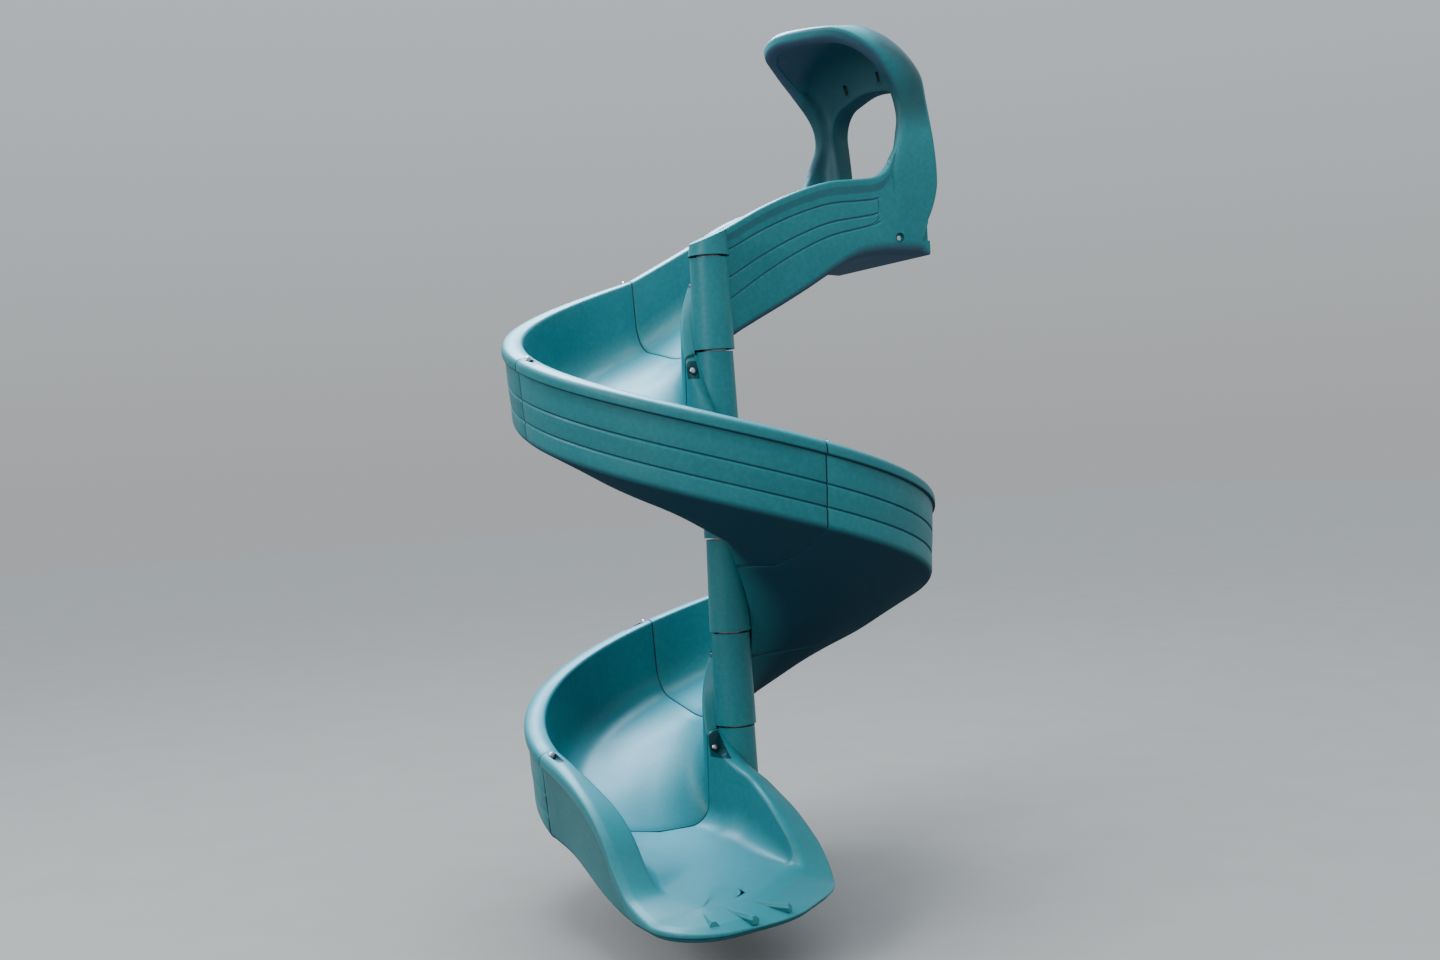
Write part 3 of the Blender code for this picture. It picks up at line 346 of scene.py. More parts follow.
def weld(thing):
    """Merge points and drop slivers that a Boolean leaves along near-touching faces."""
    with edited(thing) as bm:
        bmesh.ops.remove_doubles(bm, verts=bm.verts, dist=WELD_DISTANCE)
        bmesh.ops.dissolve_degenerate(bm, edges=bm.edges, dist=WELD_DISTANCE)


def join_or_cut(thing, others, operation):
    """Apply one exact Boolean for each of the other objects, then remove them."""
    for other in others:
        modifier = thing.modifiers.new("boolean", "BOOLEAN")
        modifier.operation = operation
        modifier.solver = "EXACT"
        modifier.object = other
    mesh = evaluated_mesh(thing)
    thing.modifiers.clear()
    thing.data = mesh
    weld(thing)
    for other in others:
        bpy.data.objects.remove(other)


def join(thing, *others):
    join_or_cut(thing, others, "UNION")


def cut(thing, *others):
    join_or_cut(thing, others, "DIFFERENCE")


def triangulate(thing):
    with edited(thing) as bm:
        bmesh.ops.triangulate(bm, faces=bm.faces)


def drop_folds(thing):
    """Delete pairs of equal faces that a Boolean leaves folded together, and close pinholes."""
    with edited(thing) as bm:
        same = {}
        for face in bm.faces:
            same.setdefault(frozenset(face.verts), []).append(face)
        folded = [face for faces in same.values() if len(faces) > 1 for face in faces]
        bmesh.ops.delete(bm, geom=folded, context="FACES")
        bmesh.ops.delete(bm, geom=[edge for edge in bm.edges if not edge.link_faces], context="EDGES")
        open_edges = [edge for edge in bm.edges if len(edge.link_faces) == 1]
        bmesh.ops.holes_fill(bm, edges=open_edges, sides=8)


def shade(thing):
    """Shade the round faces smooth and keep the real edges sharp."""
    for step in (triangulate, weld, triangulate, drop_folds, triangulate, drop_folds, triangulate):
        step(thing)
    thing.data.shade_smooth()
    thing.data.set_sharp_from_angle(angle=SHARP_ANGLE)


def groove(face, centre, inward):
    """Corners of a soft V groove in a wall whose outer face is at the given radius."""
    half = GROOVE_HEIGHT / 2
    return [
        (face, centre + half, 0.004, 1),
        (face - inward, centre, 0.002, 1),
        (face, centre - half, 0.004, 1),
    ]


def outer_face(depth):
    """Radius of the outer wall's outside, which leans in towards its foot."""
    return OUTER_RADIUS - BEAD_OVERHANG - WALL_LEAN * ease(0.06, FOOT_DEPTH, depth)


def chute_corners():
    """Corners of the spiral's cross-section, from the hub over the chute to the belly."""
    corners = [
        (ROOT_RADIUS, -0.006, 0, 0),
        (INNER_WALL - LEDGE_EDGE, -0.022, 0.018, 2),
        (INNER_WALL, -CHUTE_DEPTH, 0.080, 4),
        (INNER_WALL + FLOOR_MIDDLE * CHUTE_WIDTH, -CHUTE_DEPTH, 0.400, 1),
        (OUTER_WALL - 0.027, -CHUTE_DEPTH + FLOOR_TILT, 0.130, 4),
        (OUTER_WALL, -0.012, 0.015, 1),
        (OUTER_RADIUS - BEAD_WIDTH / 2, -0.002, 0.060, 1),
        (OUTER_RADIUS, -0.016, 0.022, 2),
        (OUTER_RADIUS, -BEAD_HEIGHT - 0.002, 0.010, 1),
        (outer_face(0), -BEAD_HEIGHT - 0.006, 0, 0),
    ]
    for depth in GROOVE_DEPTHS:
        corners += groove(outer_face(depth), -depth, GROOVE_CUT)
    return corners + [
        (outer_face(FOOT_DEPTH), -FOOT_DEPTH, 0.035, 2),
        (OUTER_RADIUS - BELLY_OUTER[0], -BELLY_DEPTH + BELLY_OUTER[1], 0.120, 2),
        (INNER_WALL + BELLY_INNER[0], -BELLY_DEPTH + BELLY_INNER[1], 0.150, 1),
        (ROOT_RADIUS, -BELLY_DEPTH, 0, 0),
    ]


def helix_point(radius, height, angle):
    fall = SECTION_DROP * angle / (math.pi / 2)
    return (radius * math.cos(angle), radius * math.sin(angle), height - fall)


def plane_ring(profile, offset, from_end):
    """Where the spiral meets an upright plane set in from one of its ends."""
    ring = []
    for radius, height in profile:
        lean = math.asin(offset / radius)
        ring.append(helix_point(radius, height, math.pi / 2 - lean if from_end else lean))
    return ring


def hub_sleeve():
    """Tube round the pole, which hangs down from one section to the next hub."""
    top = -HUB_GAP / 2
    return turned([(BORE_RADIUS, top), (HUB_TOP_RADIUS, top), (HUB_BOTTOM_RADIUS, HUB_BOTTOM),
                   (BORE_RADIUS, HUB_BOTTOM)])


def hub_room():
    """Cutter for the space into which the next hub reaches."""
    return cylinder(SLIP_RADIUS, -1.0, HUB_BOTTOM + 0.0005)


def cylinder(radius, start, end, sides=ROUND_SIDES):
    """Round cutter along its own Z from start to end."""
    return turned([(0, end), (radius, end), (radius, start), (0, start)], sides)


def joint_frame(angle, height):
    return Matrix.Translation((0, 0, height)) @ Matrix.Rotation(angle, 4, "Z")


def along_joint(radius, seat, depth, side):
    """Place at a joint of a thing along +Z, which runs downhill for side 1, uphill for -1."""
    return Matrix.Translation((radius, side * seat, -depth)) @ Matrix.Rotation(-side * math.pi / 2, 4, "X")


def rod(radius, start, end, place):
    """Cutter for a fastener's hole, along its own +Z from start to end."""
    thing = cylinder(radius, start, end, FASTENER_SIDES)
    thing.matrix_world = place
    return thing


def channel(radius, place, reach):
    """Bolt-head pocket: a round-bottomed channel along +Z, open on its -Y side."""
    arc = [(-radius * math.cos(a), radius * math.sin(a)) for a in np.linspace(0, math.pi, 13)]
    thing = prism([(-radius, -reach), *arc, (radius, -reach)], 2, (0, POCKET_LENGTH))
    thing.matrix_world = place
    return thing


JOINT_BOLTS = (
    ("rim", RIM_BOLT_RADIUS, RIM_SEAT, RIM_BOLT_DEPTH, 1),
    ("hub", HUB_BOLT_RADIUS, HUB_SEAT, HUB_BOLT_DEPTH, 1),
    ("belly", BELLY_BOLT_RADIUS, BELLY_SEAT, BELLY_BOLT_DEPTH, -1),
)


def joint_cutters(joint, piece_side):
    """Pockets, bolt holes and insert holes of the section on one side of a joint."""
    tools = []
    for name, radius, seat, depth, side in JOINT_BOLTS:
        if side == piece_side:
            place = joint @ along_joint(radius, seat, depth, side)
            # a pocket opens through the nearer of the rim and the belly
            reach = 0.050 + (depth if side > 0 else BELLY_DEPTH - depth)
            tools.append(channel(HUB_POCKET_RADIUS if name == "hub" else POCKET_RADIUS, place, reach))
            tools.append(rod(INSERT_BORE / 2, -seat - 0.005, 0.005, place))
        else:
            into = joint @ along_joint(radius, 0, depth, side)
            tools.append(rod(INSERT_DIAMETER / 2 + FIT, -JOINT_GAP / 2 - INSERT_LENGTH - FIT, 0.005, into))
    return tools


def add_bolt(name, length, place):
    """Domed bolt with its head on +Z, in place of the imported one."""
    shank = BOLT_DIAMETER / 2
    head = BOLT_HEAD_DIAMETER / 2
    dome = [(head * math.sin(a), FIT + BOLT_HEAD_HEIGHT * math.cos(a)) for a in np.linspace(0.36, math.pi / 2, 9)]
    profile = [(0, FIT + 0.3 * BOLT_HEAD_HEIGHT), (BOLT_SOCKET, FIT + 0.4 * BOLT_HEAD_HEIGHT),
               (BOLT_SOCKET, FIT + 0.93 * BOLT_HEAD_HEIGHT), *dome, (shank, FIT), (shank, -length), (0, -length)]
    bolt = turned(profile, FASTENER_SIDES, name[0] + "_fine" + name[1], zinc)
    shade(bolt)
    bolt.matrix_world = place
    stand_for(bolt, "zinc_bolt", "".join(name))


# both rims rise into the hood's legs in the same way
RIM_END = [(0.86, 1.0), (0.89, 1.10), (0.93, 1.10), (1.0, 0.400)]


def near_rim(x):
    """Crown of the rim on the pole side."""
    points = [(0, 0.181), (0.109, 0.288), (0.25, 0.455), (0.40, 0.600), (0.55, 0.702), (0.70, 0.738),
              (0.76, 0.757), (0.80, 0.800), (0.83, 0.876)]
    return RIM_RISE * curve_at(points + RIM_END, x / ENTRY_LENGTH)


def far_rim(x):
    """Crown of the rim on the far side, which starts level with the spiral's rim."""
    points = [(0, -0.005), (0.18, 0.214), (0.30, 0.364), (0.45, 0.560), (0.58, 0.671), (0.70, 0.721),
              (0.76, 0.745), (0.80, 0.790), (0.83, 0.870)]
    return RIM_RISE * curve_at(points + RIM_END, x / ENTRY_LENGTH)


def entry_floor(x):
    """Height of the middle of the floor, from the spiral's floor up to the deck."""
    points = [(0, 0), (0.25, 0.338), (0.50, 0.655), (0.70, 0.884), (0.84, 0.987), (1.0, 1.0)]
    return mix(-CHUTE_DEPTH, DECK_RISE, curve_at(points, x / ENTRY_LENGTH))


def entry_bottom(x):
    """Lower edge of the wall on the pole side."""
    points = [(0, 0), (0.07, 0.287), (0.125, 0.367), (0.23, 0.487), (0.34, 0.607), (0.453, 0.735),
              (0.56, 0.861), (0.66, 0.961), (0.78, 1.0), (1.0, 1.0)]
    return mix(-BELLY_DEPTH, DECK_RISE - DECK_THICKNESS, curve_at(points, x / ENTRY_LENGTH))


def entry_corners(x):
    """Cross-section of the entry at a distance from its joint, as (y, z, radius, steps)."""
    along = x / ENTRY_LENGTH
    off_hub = ease(0, HUB_BLEND, x)
    deck = ease(0.35, 0.85, along)
    panel = 1 - ease(0.765, 0.785, along)
    rim = near_rim(x)
    crown = far_rim(x)
    floor = entry_floor(x)
    bottom = entry_bottom(x)
    foot = bottom + mix(0.147, 0.050 * (1 - deck), off_hub)
    wall = crown - foot
    face = outer_face(0)
    lean = WALL_LEAN * (1 - deck)
    # both rims narrow to the hood's wall where they rise into its legs
    narrow = ease(0.76, 0.87, along)
    inner_rim = NEAR_FACE - NEAR_OVERHANG + mix(NEAR_RIM_WIDTH, HOOD_WALL, narrow)
    far_rim_inside = mix(OUTER_WALL, OUTER_RADIUS - HOOD_WALL, narrow)
    overhang = mix(NEAR_OVERHANG, -0.004, ease(0.80, 0.88, along))
    bead = min(NEAR_BEAD_HEIGHT + 0.004 + 0.024 * off_hub, 0.25 * (rim - bottom))
    corners = [
        (NEAR_FACE - overhang, rim, 0.012, 2),
        (mix(INNER_WALL - LEDGE_EDGE, inner_rim, off_hub), mix(-0.022, rim - 0.002, off_hub), 0.018, 2),
        (mix(INNER_WALL, inner_rim + 0.010, off_hub), floor, 0.080, 4),
        (INNER_WALL + FLOOR_MIDDLE * CHUTE_WIDTH, floor, 0.400, 1),
        (OUTER_WALL - 0.027, floor + FLOOR_TILT * (1 - deck), mix(0.130, 0.090, deck), 4),
        (far_rim_inside, crown - 0.010, 0.015, 1),
        (OUTER_RADIUS - BEAD_WIDTH / 2, crown, 0.060, 1),
        (OUTER_RADIUS, crown - 0.014, 0.022, 2),
        (OUTER_RADIUS, crown - BEAD_HEIGHT, 0.010, 1),
        (face, crown - BEAD_HEIGHT - 0.004, 0, 0),
    ]
    for share in (0.517, 0.780):
        corners += groove(face - lean * share, crown - share * wall, GROOVE_CUT * panel)
    corners += [
        (face - lean, foot, 0.035, 2),
        (OUTER_RADIUS - BELLY_OUTER[0], bottom + mix(BELLY_OUTER[1], -0.020 * (1 - deck), off_hub), 0.120, 2),
        (INNER_WALL + BELLY_INNER[0], bottom + mix(BELLY_INNER[1], -0.045 * (1 - deck), off_hub), 0.150, 1),
        (NEAR_FACE, bottom, 0.030 + 0.025 * deck, 4),
    ]
    depths = (mix(0.280, 0.185, along / 0.73), mix(0.195, 0.148, along / 0.70), 0.087)
    for depth, share in zip(depths, (0.80, 0.55, 0.30)):
        depth = min(depth, share * (rim - bottom))
        top, middle, low = groove(NEAR_FACE, rim - depth, -GROOVE_CUT * panel)
        corners += [low, middle, top]
    return corners + [
        (NEAR_FACE, rim - bead, 0.001 + 0.009 * off_hub, 1),
        (NEAR_FACE - overhang, rim - min(NEAR_BEAD_HEIGHT, 0.6 * bead), 0.006 + 0.006 * off_hub, 1),
    ]


def entry_trough(plastic):
    near = JOINT_GAP / 2
    stations = [near + EDGE_BREAK] + list(np.linspace(0.015, 0.75, 50)) + list(np.linspace(0.758, ENTRY_LENGTH, 22))
    sections = [inset(rounded(entry_corners(near)), EDGE_BREAK)] + [rounded(entry_corners(x)) for x in stations]
    rings = [np.insert(section, 0, x, axis=1) for x, section in zip([near] + stations, sections)]
    return loft(rings, "entry_fine", plastic)


def both_halves(corners):
    """The corners of half an outline, the last one in the middle, and their mirror images."""
    return corners + [(-y, z, radius, steps) for y, z, radius, steps in corners[-2::-1]]


def hood_half(corners):
    """Half of an outline of the hood, foot to crown, with its stations at set places."""
    points = rounded(both_halves(corners), closed=False)
    half = points[:len(points) // 2 + 1]
    split = 0.70 * HOOD_RISE
    heights = np.linspace(half[0, 1], split, HOOD_STATIONS)
    leg = np.column_stack([np.interp(heights, half[:, 1], half[:, 0]), heights])
    roof = resample(np.vstack([leg[-1:], half[half[:, 1] > split]]), HOOD_STATIONS)
    return np.vstack([leg, roof[1:]])


def hood_paths():
    """Rear and front outlines of the hood as (y, z) points, near leg to far leg."""
    half = CHUTE_MIDDLE - NEAR_FACE
    foot = (-half + 0.004, DECK_RISE - 0.030, 0, 0)
    bow = -half - HOOD_BOW
    rear = hood_half([
        foot,
        (bow, 0.39 * HOOD_RISE, 0.90 * HOOD_RISE, 3),
        (-half + HOOD_SHOULDER_INSET, HOOD_SHOULDER, 0.16 * HOOD_RISE, 4),
        (0, HOOD_REAR_RISE, 0.30 * HOOD_RISE, 4),
    ])
    front = hood_half([
        foot,
        (bow, 0.39 * HOOD_RISE, 0.60 * HOOD_RISE, 3),
        (-half + HOOD_NECK, 0.58 * HOOD_RISE, 0.45 * HOOD_RISE, 3),
        (-half - HOOD_LIP_SPREAD, 0.908 * HOOD_RISE, 0.13 * HOOD_RISE, 5),
        (0, HOOD_LIP_RISE, 0.50 * HOOD_RISE, 4),
    ])
    return [np.vstack([path, path[-2::-1] * [-1, 1]]) + [CHUTE_MIDDLE, 0] for path in (rear, front)]


def hood_front(z):
    """Front edge of the hood, which reaches forward over the rider at the top."""
    points = [(0.34, 0.424), (0.43, 0.370), (0.50, 0.320), (0.563, 0.283), (0.63, 0.297), (0.683, 0.339),
              (0.76, 0.440), (0.83, 0.554), (0.876, 0.671), (0.905, 0.774), (0.916, 0.840), (0.931, 1.0)]
    return HOOD_REAR - HOOD_REACH * curve_at(points, z / HOOD_RISE)


def hood_rear(z):
    """Rear edge of the hood, which draws in towards the foot of each leg."""
    points = [(0.09, 0.152), (0.14, 0.111), (0.20, 0.053), (0.28, 0.008), (0.36, 0)]
    return HOOD_REAR - HOOD_REACH * curve_at(points, z / HOOD_RISE)


def hood_arch():
    """Arched wall of the hood, from its rear outline to the rounded lip of its front."""
    paths = hood_paths()
    across = sideways(paths[0]) + sideways(paths[1])
    lip = np.array([hood_front(z) for _, z in paths[1]])
    near_top = np.array([ease(0.80, 0.90, z / HOOD_RISE) for _, z in paths[1][1:-1]])
    for _ in range(30):
        # the lip's edge is evened out, because its height hardly changes along the top
        lip[1:-1] = mix(lip[1:-1], (lip[:-2] + lip[2:]) / 2, near_top)
    rings = []
    for i, way in enumerate(across):
        inward = np.array([0, *way]) / np.linalg.norm(way)
        rear = np.array([hood_rear(paths[0][i, 1]), *paths[0][i]])
        front = np.array([lip[i], *paths[1][i]])
        reach = np.linalg.norm(front - rear)
        forward = (front - rear) / reach
        bulge = HOOD_BULGE * ease(0.60, 0.93, rear[2] / HOOD_RISE)
        roll = HOOD_ROLL * ease(0.55, 0.80, front[2] / HOOD_RISE)
        corners = [
            (0, 0, 0.010, 1),
            (0.14 * reach, -0.68 * bulge, 0.100, 1),
            (0.36 * reach, -bulge, 0.150, 1),
            (0.68 * reach, -0.66 * bulge, 0.150, 1),
            (reach, 0, HOOD_WALL / 2, 3),
            (reach, HOOD_WALL + roll, HOOD_WALL / 2, 3),
            (reach - 0.046, HOOD_WALL + roll, 0.008, 2),
            (reach - 0.056, HOOD_WALL, 0.008, 2),
            (0.45 * reach, HOOD_WALL - 0.8 * bulge, 0.100, 1),
            (0, HOOD_WALL, 0, 0),
        ]
        rings.append([rear + forward * run + inward * depth for run, depth in rounded(corners)])
    arch = loft(rings)
    # flat faces only, because a Boolean can leave a hole in a twisted one
    triangulate(arch)
    return arch


def flat_plate(outline):
    """Plate of the header's thickness with rounded edges, in its own XY plane."""
    curve = bpy.data.curves.new("plate", "CURVE")
    curve.dimensions = "2D"
    curve.fill_mode = "BOTH"
    curve.extrude = HEADER_THICKNESS / 2 - HEADER_EDGE
    curve.bevel_depth = HEADER_EDGE
    curve.offset = -HEADER_EDGE
    curve.bevel_resolution = 1
    spline = curve.splines.new("POLY")
    spline.points.add(len(outline) - 1)
    for point, (x, y) in zip(spline.points, outline):
        point.co = (x, y, 0, 1)
    spline.use_cyclic_u = True
    shape = bpy.data.objects.new("plate_curve", curve)
    cutters.objects.link(shape)
    mesh = evaluated_mesh(shape)
    bpy.data.objects.remove(shape)
    bm = bmesh.new()
    bm.from_mesh(mesh)
    bmesh.ops.remove_doubles(bm, verts=bm.verts, dist=0.00002)
    return add_object("plate", bm)


def doorway_outline():
    """Outline of the hood's doorway as (y, z) points, near foot to far foot."""
    half = DOORWAY_WIDTH / 2
    return rounded(both_halves([
        (0.050 - half, HEADER_FOOT, 0, 0),
        (0.036 - half, 0.42 * HOOD_RISE, 0.300, 2),
        (-half, HEADER_BOTTOM - 0.030, 0.110, 4),
        (0, HEADER_BOTTOM + 0.020, 0.500, 2),
    ])) + [CHUTE_MIDDLE, 0]


def header_hollow(arch):
    """Wide hollow curve in the corner between the header and the inside of the arch."""
    inside = BVHTree.FromPolygons([v.co for v in arch.data.vertices], [p.vertices for p in arch.data.polygons])
    path = hood_paths()[0]
    inner = resample(doorway_outline(), 72)
    outer = resample(path[path[:, 1] > HEADER_FOOT], 72)
    front, back = HEADER_FRONT, HEADER_FRONT + 0.06
    rings = []
    for door, wall in zip(inner, outer):
        way = wall - door
        span = np.linalg.norm(way)
        way /= span
        depth = min(HOLLOW_DEPTH, 0.75 * (front - hood_front(wall[1])))

        def reach(x):
            hit = inside.ray_cast(Vector((x, *door)), Vector((0, *way)))[3]
            return hit + 0.0006 if hit and wall[1] > 0.16 else span - HOOD_WALL

        side = [(back, 0.006), (front, 0.006)]
        for turn in np.linspace(0, math.pi / 2, 13)[1:]:
            x = front - depth * (1 - math.cos(turn))
            side.append((x, 0.006 + (reach(x) - 0.006) * math.sin(turn)))
        side += [(x, reach(x) + 0.010) for x in np.linspace(front - depth, back, 6)]
        rings.append([(x, *(door + way * out)) for x, out in side])
    hollow = loft(rings)
    triangulate(hollow)
    return hollow


def behind_legs(shares, setback, foot):
    """Outline (x, z) of what lies behind the legs' rear edge."""
    heights = [HOOD_RISE * share for share in shares]
    back = HOOD_REAR + HOOD_WALL
    return [(hood_rear(z) - setback, z) for z in heights] + [(back, heights[-1]), (back, foot)]


def hood_header():
    """Thick rear frame of the hood round the doorway to the deck."""
    rim = inset(hood_paths()[0][::-6], HOOD_WALL / 2)
    # the frame's two feet end on the deck, on either side of the doorway
    plate = flat_plate([point for point in rim if point[1] > HEADER_FOOT] + list(doorway_outline()))
    middle = HEADER_FRONT + HEADER_THICKNESS / 2
    plate.matrix_world = Matrix(((0, 0, 1, middle), (1, 0, 0, 0), (0, 1, 0, 0), (0, 0, 0, 1)))
    # the frame's feet are cut back to the legs' rear edge
    side = behind_legs((0.0, 0.09, 0.14, 0.20, 0.28, 0.36), HEADER_SETBACK, 0)
    ends = (NEAR_FACE - HOOD_WALL, OUTER_RADIUS + HOOD_WALL)
    cut(plate, prism(side, 1, ends))
    return plate


def header_slots():
    """Two upright slots in the front of the header."""
    width, height = (size / 2 for size in HEADER_SLOT)
    outline = rounded_box(width, height, width, 4)
    return [prism(outline + [CHUTE_MIDDLE + side * HEADER_SLOT_SPREAD, HEADER_SLOT_RISE], 0,
                  (HEADER_FRONT - 0.08, HEADER_FRONT + 0.050)) for side in (-1, 1)]


def panel_edge():
    """Thin upright groove that closes the grooved panel on the pole side."""
    path = resample(rounded([(0.772, 0.236, 0, 0), (0.770, 0.150, 0.050, 5), (0.730, 0.128, 0, 0)],
                            closed=False), 16)
    return loft([[(x + out * ways[0], NEAR_FACE - 0.0005 + up, z + out * ways[1]) for out, up in circle(0.0042, 12)]
                 for (x, z), ways in zip(path, sideways(path))])


def deck_notches():
    """Notch in the rear edge of each leg, above the block that lies on the deck."""
    side = behind_legs((0.09, 0.14, 0.20, 0.28), 0, 0.076)
    side.insert(0, (side[0][0] - 0.010, 0.072))
    legs = ((-0.02, NEAR_FACE + HOOD_WALL), (2 * CHUTE_MIDDLE - NEAR_FACE - HOOD_WALL, OUTER_RADIUS + 0.02))
    return [prism(side, 1, ends) for ends in legs]


def hub_cap():
    """Closed end of the entry's inner rim, round the top of the pole, with a slanted top."""
    rise = (near_rim(HUB_BLEND) - near_rim(0)) / HUB_BLEND
    return loft([[(x, y, HUB_GAP / 2) for x, y in circle(HUB_BOTTOM_RADIUS)],
                 [(x, y, near_rim(0) + rise * x) for x, y in circle(HUB_TOP_RADIUS)]])


def deck_bolt_seats():
    """Seats of the two bolts in the feet of the hood's legs; +Z points out of the wall."""
    seats = []
    for y, turn in ((NEAR_FACE, math.pi / 2), (2 * CHUTE_MIDDLE - NEAR_FACE, -math.pi / 2)):
        spot = Matrix.Translation((ENTRY_LENGTH - DECK_BOLT_BACK, y, DECK_BOLT_RISE))
        seats.append(spot @ Matrix.Rotation(turn, 4, "X") @ Matrix.Translation((0, 0, -DECK_RECESS_DEPTH)))
    return seats


def add_entry(plastic):
    entry = entry_trough(plastic)
    cut(entry, cylinder(SLIP_RADIUS, -1.0, HUB_GAP / 2))
    arch = hood_arch()
    join(entry, hub_cap(), arch, hood_header(), header_hollow(arch))
    tools = [cylinder(BORE_RADIUS, -1, 0.034), *joint_cutters(joint_frame(math.pi / 2, 0), -1),
             *header_slots(), *deck_notches(), panel_edge()]
    for seat in deck_bolt_seats():
        tools.append(rod(DECK_RECESS_RADIUS, 0, 0.062, seat))
        tools.append(rod(INSERT_BORE / 2, -DECK_BOLT_LENGTH - FIT, 0.01, seat))
    cut(entry, *tools)
    shade(entry)
    with edited(entry) as bm:
        # the back of the header is one flat face, so it keeps its flat shading
        for face in bm.faces:
            if all(abs(v.co.x - HEADER_REAR) < 0.00005 for v in face.verts):
                face.smooth = False
    entry.location = (0, 0, TOP_SEAM_HEIGHT)
    stand_for(entry, "moulded_plastic", "entry_section")


def add_spiral(plastic):
    """Copies of one quarter turn, each with its own sleeve round the pole."""
    profile = divided(rounded(chute_corners()), 0.030)
    near = JOINT_GAP / 2
    soft = 0.3 * EDGE_BREAK
    layers = ((EDGE_BREAK, 0), (soft, soft), (0, EDGE_BREAK))
    start, end = [[plane_ring(inset(profile, inward), near + along, from_end) for inward, along in layers]
                  for from_end in (False, True)]
    # near the pole the end planes reach past the first step of the turn, so it is left out
    angles = [math.pi / 2 * step / SPIRAL_STEPS for step in range(2, SPIRAL_STEPS - 1)]
    middle = [[helix_point(radius, height, angle) for radius, height in profile] for angle in angles]
    section = loft(start + middle + end[::-1], "spiral_fine", plastic)
    for tool in [hub_room()] + joint_cutters(joint_frame(0, 0), 1):
        cut(section, tool)
    sleeve = hub_sleeve()
    with edited(section) as bm:
        bm.from_mesh(sleeve.data)
    bpy.data.objects.remove(sleeve)
    shade(section)
    for turn in range(1, SPIRAL_SECTIONS + 1):
        copy = bpy.data.objects.new(f"spiral_fine_{turn}", section.data)
        copy.location = (0, 0, TOP_SEAM_HEIGHT - (turn - 1) * SECTION_DROP)
        copy.rotation_euler = (0, 0, math.pi / 2 * turn)
        slide.objects.link(copy)
        stand_for(copy, "moulded_plastic", f"spiral_section_{turn}")
    bpy.data.objects.remove(section)


def exit_outline():
    """Plan of the exit's edge as (x, y): outer side, rounded nose, inner side."""
    inner = ROOT_RADIUS - 0.015
    return rounded([
        (-OUTER_RADIUS, -JOINT_GAP / 2, 0, 0),
        (-OUTER_RADIUS, -EXIT_LENGTH, 0.280, 12),
        (-0.33, -EXIT_LENGTH + 0.075, 0.350, 6),
        (EXIT_FLARE - inner, -EXIT_INNER_LENGTH, 0.400, 6),
        (EXIT_FLARE - inner, -0.250, 0.300, 4),
        (-inner, -JOINT_GAP / 2, 0, 0),
    ], closed=False)


def exit_crown(run, inner_side):
    """Height of the rim along the exit, falling into the lip."""
    outer = [(0, -0.002), (0.13, -0.027), (0.32, -0.085), (0.45, -0.147), (0.535, -0.212), (0.60, -0.285),
             (0.68, -0.355), (0.77, -0.385), (0.85, -EXIT_LIP_DROP)]
    inner = [(0, -0.006), (0.08, -0.085), (0.234, -0.145), (0.42, -0.212), (0.54, -0.280), (0.645, -0.350),
             (0.74, -EXIT_LIP_DROP)]
    return curve_at(inner if inner_side else outer, run)


def exit_section_points(run, share):
    """Half cross-section of the exit: (distance in from the edge, height), middle of the floor last."""
    crown = exit_crown(run, share > 0.5)
    floor = -CHUTE_DEPTH - EXIT_FLOOR_DROP * ease(0, 0.75, run)
    foot = curve_at([(0, -FOOT_DEPTH), (0.227, -0.330), (0.416, -0.380), (0.523, -0.410),
                     (0.646, -EXIT_BOTTOM_DROP + 0.004), (0.80, -EXIT_BOTTOM_DROP)], run)
    belly = -BELLY_DEPTH - 0.008 * ease(0, 0.6, run)
    foot = mix(foot, belly, ease(0.55, 0.9, share))
    middle = mix(0.400, 0.300, share)
    slim = ease(0.1, 0.5, run)
    wall = max(crown - floor, 0)
    tilt = FLOOR_TILT * mix(1, 0, ease(0.3, 0.8, share)) * wall / CHUTE_DEPTH
    # the rim widens into a flange that slopes in on the outer side and out on the inner side
    flange = ease(0.05, 0.35, run)
    inner = ease(0.35, 0.65, share)
    lip = 1 - ease(0, 0.06, wall)
    width = BEAD_WIDTH + EXIT_FLANGE_GAIN * ease(0.10, 0.55, run)
    edge = mix(0.014, mix(0.010, 0.030, inner), flange)
    crest = mix(0.50, mix(0.25, 0.80, inner), flange)
    inside = mix(crown - mix(0.008, 0.012, flange), mix(crown, floor, 0.55), lip)
    corners = [
        (middle, belly, 0, 0),
        (mix(BELLY_OUTER[0], 0.150, share), mix(-BELLY_DEPTH + BELLY_OUTER[1], -EXIT_BOTTOM_DROP,
                                                ease(0, 0.5, run + share)), 0.120, 2),
        (mix(0.028, 0.014, slim), foot, mix(0.035, 0.016, slim), 2),
        (BEAD_OVERHANG, max(crown - BEAD_HEIGHT - 0.004, foot + 0.010), 0, 0),
        (0, max(crown - BEAD_HEIGHT, foot + 0.014), 0.010, 1),
        (0, max(crown - edge, foot + 0.020), mix(0.022, 0.014, flange), 2),
        (crest * width, crown, mix(0.060, 0.035, flange), 1),
        (width, inside, mix(0.018, 0.050, lip), 2),
        (width + mix(mix(0.027, 0.012, share), 0.055, lip), floor + tilt,
         mix(mix(0.130, 0.080, share), 0.180, flange), 4),
        (middle, floor, 0, 0),
    ]
    return rounded(corners, closed=False)


